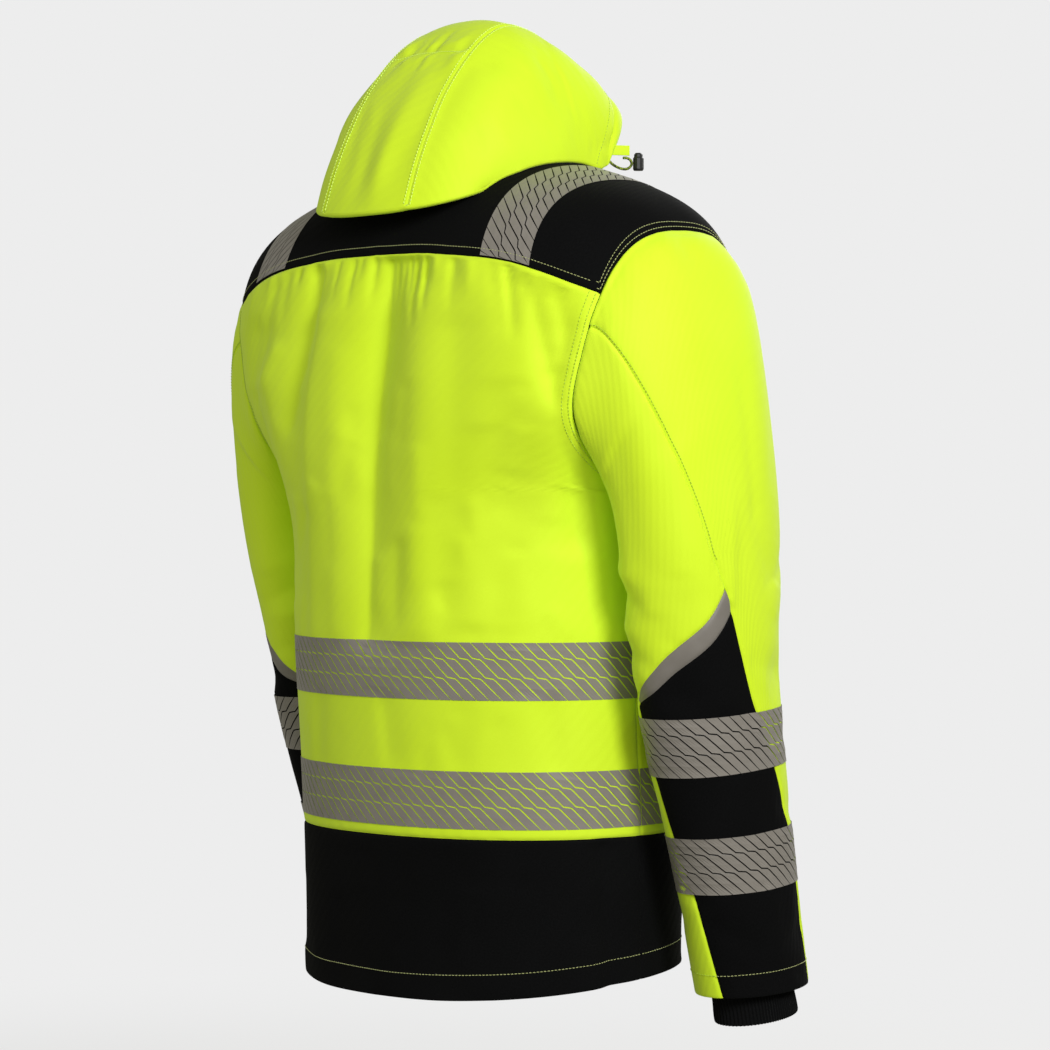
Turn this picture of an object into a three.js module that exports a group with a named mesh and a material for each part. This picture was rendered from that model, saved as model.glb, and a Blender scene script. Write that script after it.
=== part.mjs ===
// Hooded high-visibility work jacket, worn shape with no wearer. Millimetres, +Z up, front towards -Y.
// The origin is at the base of the neck, where the shoulders of a wearer carry the jacket.
import * as THREE from 'three';

// ---------- driving sizes ----------
const CLOTH = 2.0;        // wall of the shell fabric
const BAND = 0.8;         // wall of the reflective tape
const SEAM = 0.15;        // half of the gap between two pieces at a seam
const LIFT = 0.35;        // gap under a tape that lies on a panel
const TAPE_W = 50;        // width of the reflective tape
const TAPE1 = -425;       // top edge of the upper body tape
const TAPE2 = -537;       // top edge of the lower body tape
const LOWER = -596;       // seam of the dark lower panels
const RING = -150;        // height of the section under the shoulders
const UNDERARM = -295;    // lowest point of the armhole
const NECK = { a: 82, bb: 92, bf: 62, n: 2.0, z: 4 };
const SHOULDER_SLOPE = 16, BACK_SLOPE = 40, FRONT_SLOPE = 46;   // degrees at the neck
const ZIP_HALF = 7;       // half of the visible zip strip
const COLLAR_H = 64;      // stand of the collar
const S_RING = -345;      // height where the sleeve head becomes the sleeve tube
const S_TAPE1 = -485, S_TAPE2 = -589, S_HEM = -731;
const S_TILT = 0.35;      // how far the sleeve rings lean with the arm
const CUFF_END = -757;

// ---------- tables ----------
// body sections: height z, half width a, middle yc, depth to the back bb and to the front bf, squareness n
const BODY = table(['z', 'a', 'yc', 'bb', 'bf', 'n'], [
  [-150, 262, -14, 156, 108, 3.00],
  [-220, 238, -10, 160, 130, 2.90],
  [-290, 200, -6, 158, 144, 2.40],
  [-425, 187, -6, 155, 146, 2.20],
  [-590, 184, -14, 154, 144, 2.20],
  [-760, 182, -18, 155, 146, 2.20]]);
// distance of the armhole from the middle over height
const ARMHOLE = table(['z', 'x'], [[-40, 240], [-64, 240], [-125, 233], [-180, 219], [-235, 205], [-295, 198.2]]);
// height of the yoke seams over the angle from the middle back (or middle front), and of the hem
const YOKE_BACK = table(['deg', 'z'], [[0, -86], [30, -89], [50, -100], [66, -127], [80, -150]]);
const YOKE_FRONT = table(['deg', 'z'], [[0, -84], [30, -88], [50, -98], [66, -118], [80, -140]]);
const HEM = table(['deg', 'z'], [[0, -738], [30, -737], [60, -731], [90, -722], [120, -714], [180, -708]]);
// sleeve sections: height, middle x and y, half width, half depth, squareness
const ARM = table(['z', 'x', 'y', 'rx', 'ry', 'n'], [
  [-255, -250, -12, 50, 88, 2.2],
  [-350, -245, -24, 48, 86, 2.2],
  [-430, -241, -34, 48, 78, 2.2],
  [-500, -239, -46, 47, 72, 2.2],
  [-610, -239, -72, 45, 62, 2.1],
  [-735, -239, -99, 44, 57, 2.0]]);
// sleeve seams over the run q: G behind and outside, E towards the underarm (degrees from the back)
const SEAM_G = table(['q', 'deg'], [[0, 8], [0.25, 18], [0.5, 31], [0.75, 44], [1, 57], [1.3, 67], [2.4, 99], [2.85, 118], [3.4, 132], [4.86, 145]]);
const SEAM_E = table(['q', 'deg'], [[0, -62], [1, -52], [2, -34], [2.3, -19], [2.9, -14], [3.4, -9], [4, 2], [4.86, 14]]);
const SEAM_F = -145;      // front underarm seam
// upper and lower edge of the reflective insert over the share c from seam E to seam G
const INSERT = table(['c', 'up', 'low'], [[0, 2.216, 2.35], [0.42, 1.89, 2.03], [0.75, 1.59, 1.76], [1, 1.306, 1.51]]);
// hood arches from the face edge (v 0) to the nape (v 1): foot by,bz; top my,mz; half width w; squareness k
const HOOD = table(['v', 'by', 'bz', 'my', 'mz', 'w', 'k'], [
  [0.00, -64, 3, -103, 66, 98, 2.8],
  [0.18, -48, -3, -64, 94, 102, 2.5],
  [0.36, -22, 0.5, -22, 119, 104, 2.2],
  [0.52, 5, -0.5, 14, 131, 106, 2.0],
  [0.66, 32, -4.5, 50, 108, 107, 2.0],
  [0.78, 56, -11, 88, 66, 106, 2.0],
  [0.88, 76, -19, 118, 28, 103, 2.05],
  [0.95, 88, -26, 140, -12, 100, 2.1],
  [1.00, 93, -30, 153, -50, 98, 2.2]]);
const GUSSET = [44, 54];  // half width of the middle hood panel at the face and at the nape
// soft folds of the back and the fronts: angle at the top and at the bottom (degrees from the middle back,
// towards the right arm), top and bottom height, half width in degrees, height of the ridge (minus is a trough)
const FOLDS = [
  { p0: 3, p1: -4, z0: -100, z1: -400, w: 9, d: 5 },
  { p0: 20, p1: 12, z0: -100, z1: -420, w: 9, d: -6 },
  { p0: -24, p1: -30, z0: -110, z1: -420, w: 9, d: -4 },
  { p0: 48, p1: 60, z0: -200, z1: -420, w: 7, d: -5 },
  { p0: 34, p1: 30, z0: -150, z1: -420, w: 10, d: 3 },
  { p0: -52, p1: -62, z0: -200, z1: -420, w: 8, d: -5 },
  { p0: 150, p1: 146, z0: -130, z1: -420, w: 9, d: -4 },
  { p0: -150, p1: -147, z0: -130, z1: -420, w: 9, d: -4 }];

// ---------- helpers ----------
const RAD = Math.PI / 180;
function table(names, rows) {
  const r = rows[0][0] < rows[rows.length - 1][0] ? rows : rows.slice().reverse();
  const xs = r.map(a => a[0]), n = xs.length, out = {};
  names.slice(1).forEach((name, k) => {
    const ys = r.map(a => a[k + 1]), d = [], m = [];
    for (let i = 0; i < n - 1; i++) d.push((ys[i + 1] - ys[i]) / (xs[i + 1] - xs[i]));
    for (let i = 0; i < n; i++) {
      if (i === 0) m.push(d[0]); else if (i === n - 1) m.push(d[n - 2]);
      else if (d[i - 1] * d[i] <= 0) m.push(0);
      else { const h0 = xs[i] - xs[i - 1], h1 = xs[i + 1] - xs[i]; m.push((d[i - 1] * h1 + d[i] * h0) / (h0 + h1)); }
    }
    out[name] = x => {
      x = Math.min(Math.max(x, xs[0]), xs[n - 1]);
      let i = 0; while (i < n - 2 && x > xs[i + 1]) i++;
      const h = xs[i + 1] - xs[i], t = (x - xs[i]) / h, t2 = t * t, t3 = t2 * t;
      return ys[i] * (2 * t3 - 3 * t2 + 1) + h * m[i] * (t3 - 2 * t2 + t) + ys[i + 1] * (3 * t2 - 2 * t3) + h * m[i + 1] * (t3 - t2);
    };
  });
  return out;
}
const lerp = (a, b, t) => a + (b - a) * t;
const steps = (a, b, n) => Array.from({ length: n + 1 }, (_, i) => lerp(a, b, i / n));
const bisect = (lo, hi, below) => { for (let i = 0; i < 44; i++) { const m = (lo + hi) / 2; if (below(m)) lo = m; else hi = m; } return (lo + hi) / 2; };
const sub = (a, b) => [a[0] - b[0], a[1] - b[1], a[2] - b[2]];
const len = a => Math.hypot(a[0], a[1], a[2]);
const cross = (a, b) => [a[1] * b[2] - a[2] * b[1], a[2] * b[0] - a[0] * b[2], a[0] * b[1] - a[1] * b[0]];
const superEllipse = (s, c, a, b, n) => Math.pow(Math.pow(Math.abs(s) / a, n) + Math.pow(Math.abs(c) / b, n), -1 / n);

// ---------- body surface: phi from the middle back towards the right arm, m the height (or its run over the shoulder) ----------
function foldHeight(phi, z) {
  let d = 0; const deg = phi / RAD;
  for (const f of FOLDS) {
    const t = (z - f.z0) / (f.z1 - f.z0); if (t <= 0 || t >= 1) continue;
    const g = (deg - lerp(f.p0, f.p1, t)) / f.w;
    d += f.d * Math.exp(-g * g) * Math.sin(Math.PI * Math.sqrt(t)) ;
  }
  return d;
}
function body(phi, m) {
  const zb = Math.min(m, RING), s = Math.sin(phi), c = Math.cos(phi);
  const r1 = superEllipse(s, c, BODY.a(zb), c >= 0 ? BODY.bb(zb) : BODY.bf(zb), BODY.n(zb));
  const yc = BODY.yc(zb); let r = r1, z = m;
  if (m > RING) {
    const r0 = superEllipse(s, c, NECK.a, c >= 0 ? NECK.bb : NECK.bf, NECK.n);
    const t = (m - RING) / -RING, sd = s * s, fr = c < 0 ? c * c : 0, bk = c < 0 ? 0 : c * c;
    const k1 = 0.72 * sd + 0.45 * bk + 0.42 * fr, k2 = 0.62 * sd + 0.50 * bk + 0.50 * fr;
    const sl = Math.tan((SHOULDER_SLOPE * sd + BACK_SLOPE * bk + FRONT_SLOPE * fr) * RAD), dr = r1 - r0, z0 = NECK.z - 6 * fr;
    const b0 = (1 - t) ** 3, b1 = 3 * t * (1 - t) ** 2, b2 = 3 * t * t * (1 - t), b3 = t ** 3;
    r = (b0 + b1) * r1 + b2 * (r0 + k2 * dr) + b3 * r0;
    z = b0 * RING + b1 * (RING - k1 * RING) + b2 * (z0 - k2 * dr * sl) + b3 * z0;
  }
  r += foldHeight(phi, z);
  return [-r * s, yc + r * c, z];
}
const beyondArm = (phi, m) => { const p = body(phi, m); return Math.abs(p[0]) - ARMHOLE.x(p[2]); };
const armPhi = (m, front) => m <= UNDERARM ? Math.PI / 2
  : (a => front ? Math.PI - a : a)(bisect(0, Math.PI / 2, p => beyondArm(front ? Math.PI - p : p, m) < 0));
const mOfZ = (phi, z) => bisect(RING - 60, 0, m => body(phi, m)[2] < z);
const seamM = phi => { const p = Math.abs(phi) / RAD; return mOfZ(phi, p < 90 ? YOKE_BACK.z(p) : YOKE_FRONT.z(180 - p)); };
const cornerOf = front => { const a = bisect(0.3, Math.PI / 2 - 0.02, p => beyondArm(front ? Math.PI - p : p, seamM(front ? Math.PI - p : p)) < 0); const p = front ? Math.PI - a : a; return { p, m: seamM(p) }; };
const CB = cornerOf(false), CF = cornerOf(true);
const shoulderM = phi => bisect(0, Math.min(CB.m, CF.m) - 25, m => beyondArm(phi, m) < 0);
const zipPhi = (m, half = ZIP_HALF) => { const p = body(Math.PI, m), yc = BODY.yc(Math.min(m, RING)); return Math.PI - Math.asin(half / Math.abs(p[1] - yc)); };

// ---------- sleeve surface (right): th from the back round the outside, q 0..1 the head, then 100 mm a unit ----------
const loop = (() => {
  const pts = [body(Math.PI / 2, UNDERARM)];
  for (const m of steps(UNDERARM + 1.5, CB.m, 50)) pts.push(body(armPhi(m, false), m));
  for (const p of steps(CB.p, CF.p, 60).slice(1)) pts.push(body(p, shoulderM(p)));
  for (const m of steps(CF.m, UNDERARM + 1.5, 50).slice(1)) pts.push(body(armPhi(m, true), m));
  pts.push(pts[0].slice());
  const mid = [-8, -180]; let last = null;
  const ang = pts.map(p => { let a = Math.atan2(p[2] - mid[1], p[1] - mid[0]); if (last !== null) while (a < last - Math.PI) a += 2 * Math.PI; last = a; return a; });
  return { pts, ang };
})();
function armholePoint(th) {
  const a0 = loop.ang[0]; let a = th; while (a < a0) a += 2 * Math.PI; while (a > a0 + 2 * Math.PI) a -= 2 * Math.PI;
  let i = 0; while (i < loop.ang.length - 2 && a > loop.ang[i + 1]) i++;
  const t = Math.min(1, Math.max(0, (a - loop.ang[i]) / (loop.ang[i + 1] - loop.ang[i])));
  return loop.pts[i].map((v, k) => lerp(v, loop.pts[i + 1][k], t));
}
function armRing(th, z) {
  const c = [ARM.x(z), ARM.y(z), z], e = 2;
  let t = [ARM.x(z - e) - ARM.x(z + e), ARM.y(z - e) - ARM.y(z + e), -2 * e]; const l = len(t);
  t = [t[0] / l * S_TILT, t[1] / l * S_TILT, t[2] / l * S_TILT - (1 - S_TILT)]; const l2 = len(t); t = t.map(v => v / l2);
  let X = [-1 + t[0] * t[0], t[0] * t[1], t[0] * t[2]]; const lx = len(X); X = X.map(v => v / lx);
  let Y = [-t[1] * t[0], 1 - t[1] * t[1], -t[1] * t[2]]; const d = X[0] * Y[0] + X[1] * Y[1] + X[2] * Y[2];
  Y = Y.map((v, k) => v - d * X[k]); const ly = len(Y); Y = Y.map(v => v / ly);
  const s = Math.sin(th), co = Math.cos(th), r = superEllipse(s, co, ARM.rx(z), ARM.ry(z), ARM.n(z));
  return c.map((v, k) => v + X[k] * r * s + Y[k] * r * co);
}
function sleeve(th, q) {
  if (q >= 1) return armRing(th, S_RING - (q - 1) * 100);
  const p0 = armholePoint(th), p1 = armRing(th, S_RING), b = armRing(th, S_RING - 5), s = Math.sin(th), c = Math.cos(th);
  p0[0] -= 2.6;                                              // clear of the armhole edge of the body
  const span = len(sub(p1, p0)), up = Math.max(0, s), dn = Math.max(0, -s);
  const d0 = [-(0.95 * up + 0.55 * (1 - up) * (1 - dn) + 0.30 * dn), 0.10 * c, -(0.22 * up + 0.30 * (1 - up) + 0.5 * dn)];
  const t0 = d0.map(v => v * span * (0.48 + 0.25 * (1 - up))), db = sub(b, p1), lb = len(db), t1 = db.map(v => v / lb * span * (0.95 - 0.1 * dn));
  const q2 = q * q, q3 = q2 * q;
  return p0.map((v, k) => v * (2 * q3 - 3 * q2 + 1) + t0[k] * (q3 - 2 * q2 + q) + p1[k] * (3 * q2 - 2 * q3) + t1[k] * (q3 - q2));
}
const runOf = z => 1 + (S_RING - z) / 100;

// ---------- hood surface ----------
function hood(beta, v) {
  const by = HOOD.by(v), bz = HOOD.bz(v), my = HOOD.my(v), mz = HOOD.mz(v), H = Math.hypot(my - by, mz - bz);
  const s = Math.sin(beta), c = Math.cos(beta), r = superEllipse(s, c, HOOD.w(v), H, HOOD.k(v));
  return [-r * s, by + (my - by) * r * c / H, bz + (mz - bz) * r * c / H];
}
const gussetBeta = v => bisect(0, Math.PI / 2, b => -hood(b, v)[0] < lerp(GUSSET[0], GUSSET[1], v));

// ---------- collar surface: phi as on the body, h 0..1 ----------
function collar(phi, h) {
  const s = Math.sin(phi), c = Math.cos(phi), e = Math.sin(h * Math.PI / 2);
  const r = superEllipse(s, c, NECK.a - 8 * e, c >= 0 ? NECK.bb - 12 * e : NECK.bf + 2 * e, 2);
  const fr = c < 0 ? c * c : 0;
  return [-r * s, BODY.yc(RING) + r * c, NECK.z - 6 * fr + 0.6 + h * (COLLAR_H + 4 * fr)];
}

// ---------- a closed wall over a surface f(u, v): us and vs are the stations, out and inn the two faces along the normal ----------
function wall(f, us, vs, out, inn, opt = {}) {
  const g = opt.gap ?? SEAM, closed = opt.closed, nu = us.length, nv = vs.length;
  const L = (a, b) => Math.max(1e-6, len(sub(a, b)));
  const at = (i, j) => {
    let u = us[i], v = vs[j]; const du = us[nu - 1] - us[0], dv = vs[nv - 1] - vs[0];
    if (!closed) {
      if (i === 0) u += g * (us[1] - us[0]) / L(f(us[1], v), f(us[0], v));
      if (i === nu - 1) u -= g * (us[nu - 1] - us[nu - 2]) / L(f(us[nu - 1], v), f(us[nu - 2], v));
    }
    if (j === 0) v += g * (vs[1] - vs[0]) / L(f(u, vs[1]), f(u, vs[0]));
    if (j === nv - 1) v -= g * (vs[nv - 1] - vs[nv - 2]) / L(f(u, vs[nv - 1]), f(u, vs[nv - 2]));
    const eu = du * 1e-4, ev = dv * 1e-4, u1 = closed ? u + eu : Math.min(u + eu, us[nu - 1]), u0 = closed ? u - eu : Math.max(u - eu, us[0]);
    const v1 = Math.min(v + ev, vs[nv - 1]), v0 = Math.max(v - ev, vs[0]);
    const n = cross(sub(f(u1, v), f(u0, v)), sub(f(u, v1), f(u, v0))), l = len(n) * (opt.flip ? -1 : 1), p = f(u, v);
    return [p, n.map(x => x / l)];
  };
  const pos = [], idx = [], cu = closed ? nu - 1 : nu;
  const id = (i, j, k) => ((closed ? i % cu : i) * nv + j) * 2 + k;
  for (let i = 0; i < cu; i++) for (let j = 0; j < nv; j++) {
    const [p, n] = at(i, j);
    for (const t of [out, inn]) pos.push(p[0] + n[0] * t, p[1] + n[1] * t, p[2] + n[2] * t);
  }
  const quad = (a, b, c, d) => idx.push(a, b, c, a, c, d);
  for (let i = 0; i < nu - 1; i++) for (let j = 0; j < nv - 1; j++) {
    quad(id(i, j, 0), id(i + 1, j, 0), id(i + 1, j + 1, 0), id(i, j + 1, 0));
    quad(id(i, j, 1), id(i, j + 1, 1), id(i + 1, j + 1, 1), id(i + 1, j, 1));
  }
  for (let i = 0; i < nu - 1; i++) {
    quad(id(i, 0, 0), id(i, 0, 1), id(i + 1, 0, 1), id(i + 1, 0, 0));
    quad(id(i, nv - 1, 0), id(i + 1, nv - 1, 0), id(i + 1, nv - 1, 1), id(i, nv - 1, 1));
  }
  if (!closed) for (let j = 0; j < nv - 1; j++) {
    quad(id(0, j, 0), id(0, j + 1, 0), id(0, j + 1, 1), id(0, j, 1));
    quad(id(nu - 1, j, 0), id(nu - 1, j, 1), id(nu - 1, j + 1, 1), id(nu - 1, j + 1, 0));
  }
  const geo = new THREE.BufferGeometry();
  geo.setAttribute('position', new THREE.BufferAttribute(new Float32Array(pos), 3)); geo.setIndex(idx);
  if (signedVolume(geo) < 0) flip(geo);
  return geo;
}
function signedVolume(geo) {
  const p = geo.attributes.position.array, ix = geo.index.array; let v = 0;
  for (let i = 0; i < ix.length; i += 3) {
    const a = ix[i] * 3, b = ix[i + 1] * 3, c = ix[i + 2] * 3;
    v += p[a] * (p[b + 1] * p[c + 2] - p[b + 2] * p[c + 1]) - p[a + 1] * (p[b] * p[c + 2] - p[b + 2] * p[c]) + p[a + 2] * (p[b] * p[c + 1] - p[b + 1] * p[c]);
  }
  return v;
}
function flip(geo) { const a = geo.index.array; for (let i = 0; i < a.length; i += 3) { const t = a[i]; a[i] = a[i + 1]; a[i + 1] = t; } }
function mirrored(geo) {
  const g = geo.clone(), p = g.attributes.position.array;
  if (!g.index) g.setIndex(Array.from({ length: p.length / 3 }, (_, i) => i));
  for (let i = 0; i < p.length; i += 3) p[i] = -p[i];
  flip(g); return g;
}

// ---------- materials ----------
const mat = (color, roughness, metalness = 0) => () => new THREE.MeshStandardMaterial({ color, roughness, metalness });
const YELLOW = mat(0xd4f02a, 0.85), BLACK = mat(0x0c0c0d, 0.9), SILVER = mat(0x968c82, 0.55), RIB = mat(0x0a0a0a, 0.95);
const CORD = mat(0x2a2c12, 0.8), PLASTIC = mat(0x111111, 0.45);
const jacket = new THREE.Group();
const add = (name, geo, m) => { const mesh = new THREE.Mesh(geo, m()); mesh.name = name; jacket.add(mesh); };
const pair = (name, geo, m) => { add(name + '_right', geo, m); add(name + '_left', mirrored(geo), m); };

// ---------- body panels ----------
const ROWS = [TAPE1, TAPE1 - 25, TAPE1 - TAPE_W, -506, TAPE2, TAPE2 - 25, TAPE2 - TAPE_W, LOWER];
// share w 0..1 down the armhole edge, then one unit a row below
const EDGE = [0, 0.2, 0.42, 0.64, 0.84, 1];
function panelPoint(c, w, front, side) {
  const C = front ? CF : CB;
  const edge = w <= 1 ? lerp(C.m, UNDERARM, w) : w - 1 < 1 ? lerp(UNDERARM, TAPE1, w - 1) : (() => { const k = Math.min(ROWS.length - 2, Math.floor(w - 2)); return lerp(ROWS[k], ROWS[k + 1], w - 2 - k); })();
  const lim = w <= 1 ? armPhi(edge, front) : Math.PI / 2, fade = Math.max(0, 1 - w / 0.6), f2 = fade * fade * (3 - 2 * fade);
  if (!front) { const phi = c * lim, top = c * C.p; return body(phi, edge + (seamM(top) - C.m) * f2); }
  // fronts run from the armhole or side seam (c 0) to the zip (c 1)
  const t0 = lerp(C.p, zipPhi(seamM(Math.PI)), c), m = edge + (seamM(t0) - C.m) * f2, phi = lerp(lim, zipPhi(m), c);
  return body(phi, m);
}
const BACK_C = steps(-1, 1, 22), FRONT_C = steps(0, 1, 9);
const BODY_W = [...EDGE, 1.5, 2, 3, 4, 5, 6, 7, 8, 9];
add('back_body', wall((c, w) => panelPoint(c, w, false), BACK_C, BODY_W, 0, -CLOTH, { flip: true }), YELLOW);
pair('front', wall((c, w) => panelPoint(c, w, true), FRONT_C, BODY_W, 0, -CLOTH, { flip: true }), YELLOW);
const bandOpt = { flip: true, gap: SEAM };
for (const [name, w0] of [['tape_upper', 2], ['tape_lower', 6]]) {
  const w = [w0, w0 + 1, w0 + 2];
  add(name + '_back', wall((c, v) => panelPoint(c, v, false), BACK_C, w, LIFT + BAND, LIFT, bandOpt), SILVER);
  pair(name + '_front', wall((c, v) => panelPoint(c, v, true), FRONT_C, w, LIFT + BAND, LIFT, bandOpt), SILVER);
}
const lower = (front) => (c, w) => {
  const lim = Math.PI / 2, phiAt = m => front ? lerp(lim, zipPhi(m), c) : c * lim;
  const hem = HEM.z(Math.abs(phiAt(-700)) / RAD), m = lerp(LOWER, hem, w);
  return body(phiAt(m), m);
};
add('lower_back', wall(lower(false), BACK_C, steps(0, 1, 3), 0, -CLOTH, { flip: true }), BLACK);
pair('lower_front', wall(lower(true), FRONT_C, steps(0, 1, 3), 0, -CLOTH, { flip: true }), BLACK);

// ---------- yoke: one piece over the back, the shoulders and the upper chest ----------
const yokeEdge = p => { const a = Math.abs(p); return a < CB.p || a > CF.p ? seamM(a) : shoulderM(a); };
const NZ = zipPhi(-0.5), SZ = zipPhi(seamM(Math.PI));
const half = [...BACK_C.filter(c => c > 1e-6).map(c => c * CB.p), ...steps(CB.p, CF.p, 6).slice(1), ...FRONT_C.slice(1).map(c => lerp(CF.p, SZ, c))];
const yokeCols = [...half.slice().reverse().map(p => -p), 0, ...half];
const yoke = (p, w) => {
  const a = Math.abs(p), k = a > CF.p ? (a - CF.p) / (SZ - CF.p) : 0, pt = a > CF.p ? lerp(CF.p, lerp(NZ, SZ, w), k) : a;
  const e = yokeEdge(a), m = e * w; return body(Math.sign(p) * (a > CF.p ? pt : a), m);
};
add('yoke', wall(yoke, yokeCols, [0, 0.2, 0.4, 0.6, 0.8, 1], 0, -CLOTH, { flip: true }), BLACK);

// ---------- shoulder tapes, laid over the yoke from seam to seam ----------
const capPoint = (x, y) => {
  const yc = BODY.yc(RING), phi = Math.atan2(-x, y - yc), r = Math.hypot(x, y - yc);
  const m = bisect(RING, 0, q => { const p = body(phi, q); return Math.hypot(p[0], p[1] - yc) > r; });
  return body(phi, m);
};
const SHOULDER_BACK = 152, SHOULDER_FRONT = 132;   // distance of the tape's middle from the middle of the back and of the chest
const shoulderTape = (x, t) => {
  const xs = lerp(SHOULDER_BACK, SHOULDER_FRONT, t) + x;
  const clear = (s, y) => { const p = capPoint(-(lerp(SHOULDER_BACK, SHOULDER_FRONT, s) + x), y); return p[2] - (y > 0 ? YOKE_BACK : YOKE_FRONT).z(y > 0 ? Math.atan2(xs, y + 14) / RAD : Math.atan2(xs, -y - 14) / RAD); };
  const yb = bisect(0, 140, y => clear(0, y) > 1.0), yf = bisect(0, 118, y => clear(1, -y) > 1.0);
  return capPoint(-xs, lerp(yb, -yf, (1 - Math.cos(Math.PI * t)) / 2 * 0.8 + t * 0.2));
};
pair('shoulder_tape', wall(shoulderTape, steps(-TAPE_W / 2, TAPE_W / 2, 4), steps(0, 1, 13), LIFT + 0.65 + BAND, LIFT + 0.65, { flip: false, gap: 0.4 }), SILVER);

// ---------- collar and zip ----------
const collarZip = Math.PI - Math.asin(ZIP_HALF / (NECK.bf + 1));
add('collar', wall(collar, [...steps(-collarZip, collarZip, 26)], steps(0, 1, 2), 0, -CLOTH, { flip: false }), BLACK);
const zipPath = (x, v) => {
  if (v >= 2) { const h = (v - 2) * 0.985, p = collar(Math.PI, h), r = Math.abs(p[1] - BODY.yc(RING)); return collar(Math.PI - Math.asin(x / r), h); }
  const m = v <= 1 ? lerp(HEM.z(180) + 2, RING, v) : lerp(RING, 0, v - 1), p = body(Math.PI, m), r = Math.abs(p[1] - BODY.yc(Math.min(m, RING)));
  return body(Math.PI - Math.asin(x / r), m);
};
add('zip', wall(zipPath, [-ZIP_HALF + 0.15, 0, ZIP_HALF - 0.15], [...steps(0, 1, 8), 1.25, 1.5, 1.75, 2.004, 2.35, 2.7, 3], -0.3, -1.9, { flip: true }), BLACK);
const bar = (w, h, t, r) => {
  const s = new THREE.Shape(), a = w / 2, b = h / 2;
  s.moveTo(-a + r, -b); s.lineTo(a - r, -b); s.quadraticCurveTo(a, -b, a, -b + r); s.lineTo(a, b - r); s.quadraticCurveTo(a, b, a - r, b);
  s.lineTo(-a + r, b); s.quadraticCurveTo(-a, b, -a, b - r); s.lineTo(-a, -b + r); s.quadraticCurveTo(-a, -b, -a + r, -b);
  return new THREE.ExtrudeGeometry(s, { depth: t, bevelEnabled: false, curveSegments: 4 });
};
const place = (geo, x, y, z, rx = 0, ry = 0, rz = 0) => { geo.applyMatrix4(new THREE.Matrix4().compose(new THREE.Vector3(x, y, z), new THREE.Quaternion().setFromEuler(new THREE.Euler(rx, ry, rz, 'XYZ')), new THREE.Vector3(1, 1, 1))); return geo; };
const zipTop = collar(Math.PI, 0.86), zipLean = Math.atan2(collar(Math.PI, 0.5)[1] - zipTop[1], zipTop[2] - collar(Math.PI, 0.5)[2]);
add('zip_slider', place(bar(8, 13, 4.2, 2.2), 0, zipTop[1] - 0.6, zipTop[2], Math.PI / 2), PLASTIC);
add('zip_puller', place(bar(7, 34, 1.6, 2), 0, zipTop[1] - 5.7, zipTop[2] - 14, Math.PI / 2), RIB);

// ---------- hood: middle panel and two sides ----------
const HV = [0, 0.11, 0.23, 0.36, 0.48, 0.58, 0.68, 0.77, 0.85, 0.93, 1];
add('hood_centre', wall((u, v) => hood(u * gussetBeta(v), v), steps(-1, 1, 6), HV, 0, -CLOTH, { flip: true }), YELLOW);
pair('hood_side', wall((u, v) => hood(lerp(gussetBeta(v), Math.PI / 2, u), v), steps(0, 1, 6), HV, 0, -CLOTH, { flip: true }), YELLOW);

// ---------- hood cord: leaves the foot of the face edge, turns in its lock and comes back under a small cloth tab ----------
const CORD_D = 2.5;
const cordRun = [[-98.2, -67.6, 0.6], [-99.2, -71, -1.2], [-100.3, -75, -2.6], [-101.5, -79, -3.2], [-102.6, -82.8, -2.6], [-103.4, -85.9, -0.2], [-103.7, -86.8, 2.4], [-103.2, -85.6, 5.2], [-102.2, -82.4, 6.9], [-101, -78.6, 6.9]];
const cordCurve = new THREE.CatmullRomCurve3(cordRun.map(p => new THREE.Vector3(...p)));
const disc = new THREE.Shape(); disc.absarc(0, 0, CORD_D / 2, 0, 2 * Math.PI, false);
pair('hood_cord', new THREE.ExtrudeGeometry(disc, { steps: 14, curveSegments: 4, extrudePath: cordCurve }), CORD);
const lockProfile = [[0, -8], [4.2, -8], [5, -6.5], [5, 3], [4, 4.5], [4, 6.5], [2.6, 8], [0, 8]].map(a => new THREE.Vector2(...a));
const LOCK = [-106, -93.2, 4];
pair('cord_lock', place(new THREE.LatheGeometry(lockProfile, 12), ...LOCK, Math.PI / 2), PLASTIC);
const TAB_L = 12, TAB_H = 9, TAB_T = 1.6;
pair('cord_tab', place(new THREE.BoxGeometry(TAB_L, TAB_T, TAB_H), -101.4, -78.1, 13.6, 0, 0, 63 * RAD), YELLOW);

// ---------- sleeves ----------
const HEM_Q = runOf(S_HEM);
// every panel of the sleeve has the same rows: head and upper arm 0..6, insert 6..7, forearm 7..12
const UPPER = [0, 0.14, 0.3, 0.46, 0.64, 0.82, 1];
const rowQ = (c, i) => {
  const up = INSERT.up(c), low = INSERT.low(c);
  if (i <= 6) { const k = Math.min(5, Math.floor(i)); return up * lerp(UPPER[k], UPPER[k + 1], i - k); }
  return i <= 7 ? lerp(up, low, i - 6) : lerp(low, HEM_Q, (i - 7) / 5);
};
const frontQ = i => (rowQ(0, i) + rowQ(1, i)) / 2;
const backPart = (c, i) => { const q = rowQ(c, i); return sleeve(lerp(SEAM_E.deg(q), SEAM_G.deg(q), c) * RAD, q); };
const outerPart = (c, i) => { const q = lerp(rowQ(1, i), frontQ(i), c); return sleeve(lerp(SEAM_G.deg(q), 360 + SEAM_F, c) * RAD, q); };
const underPart = (c, i) => { const q = lerp(frontQ(i), rowQ(0, i), c); return sleeve(lerp(SEAM_F, SEAM_E.deg(q), c) * RAD, q); };
const SLEEVE = { flip: true };
pair('sleeve_outer', wall(outerPart, steps(0, 1, 9), steps(0, 12, 12), 0, -CLOTH, SLEEVE), YELLOW);
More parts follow.
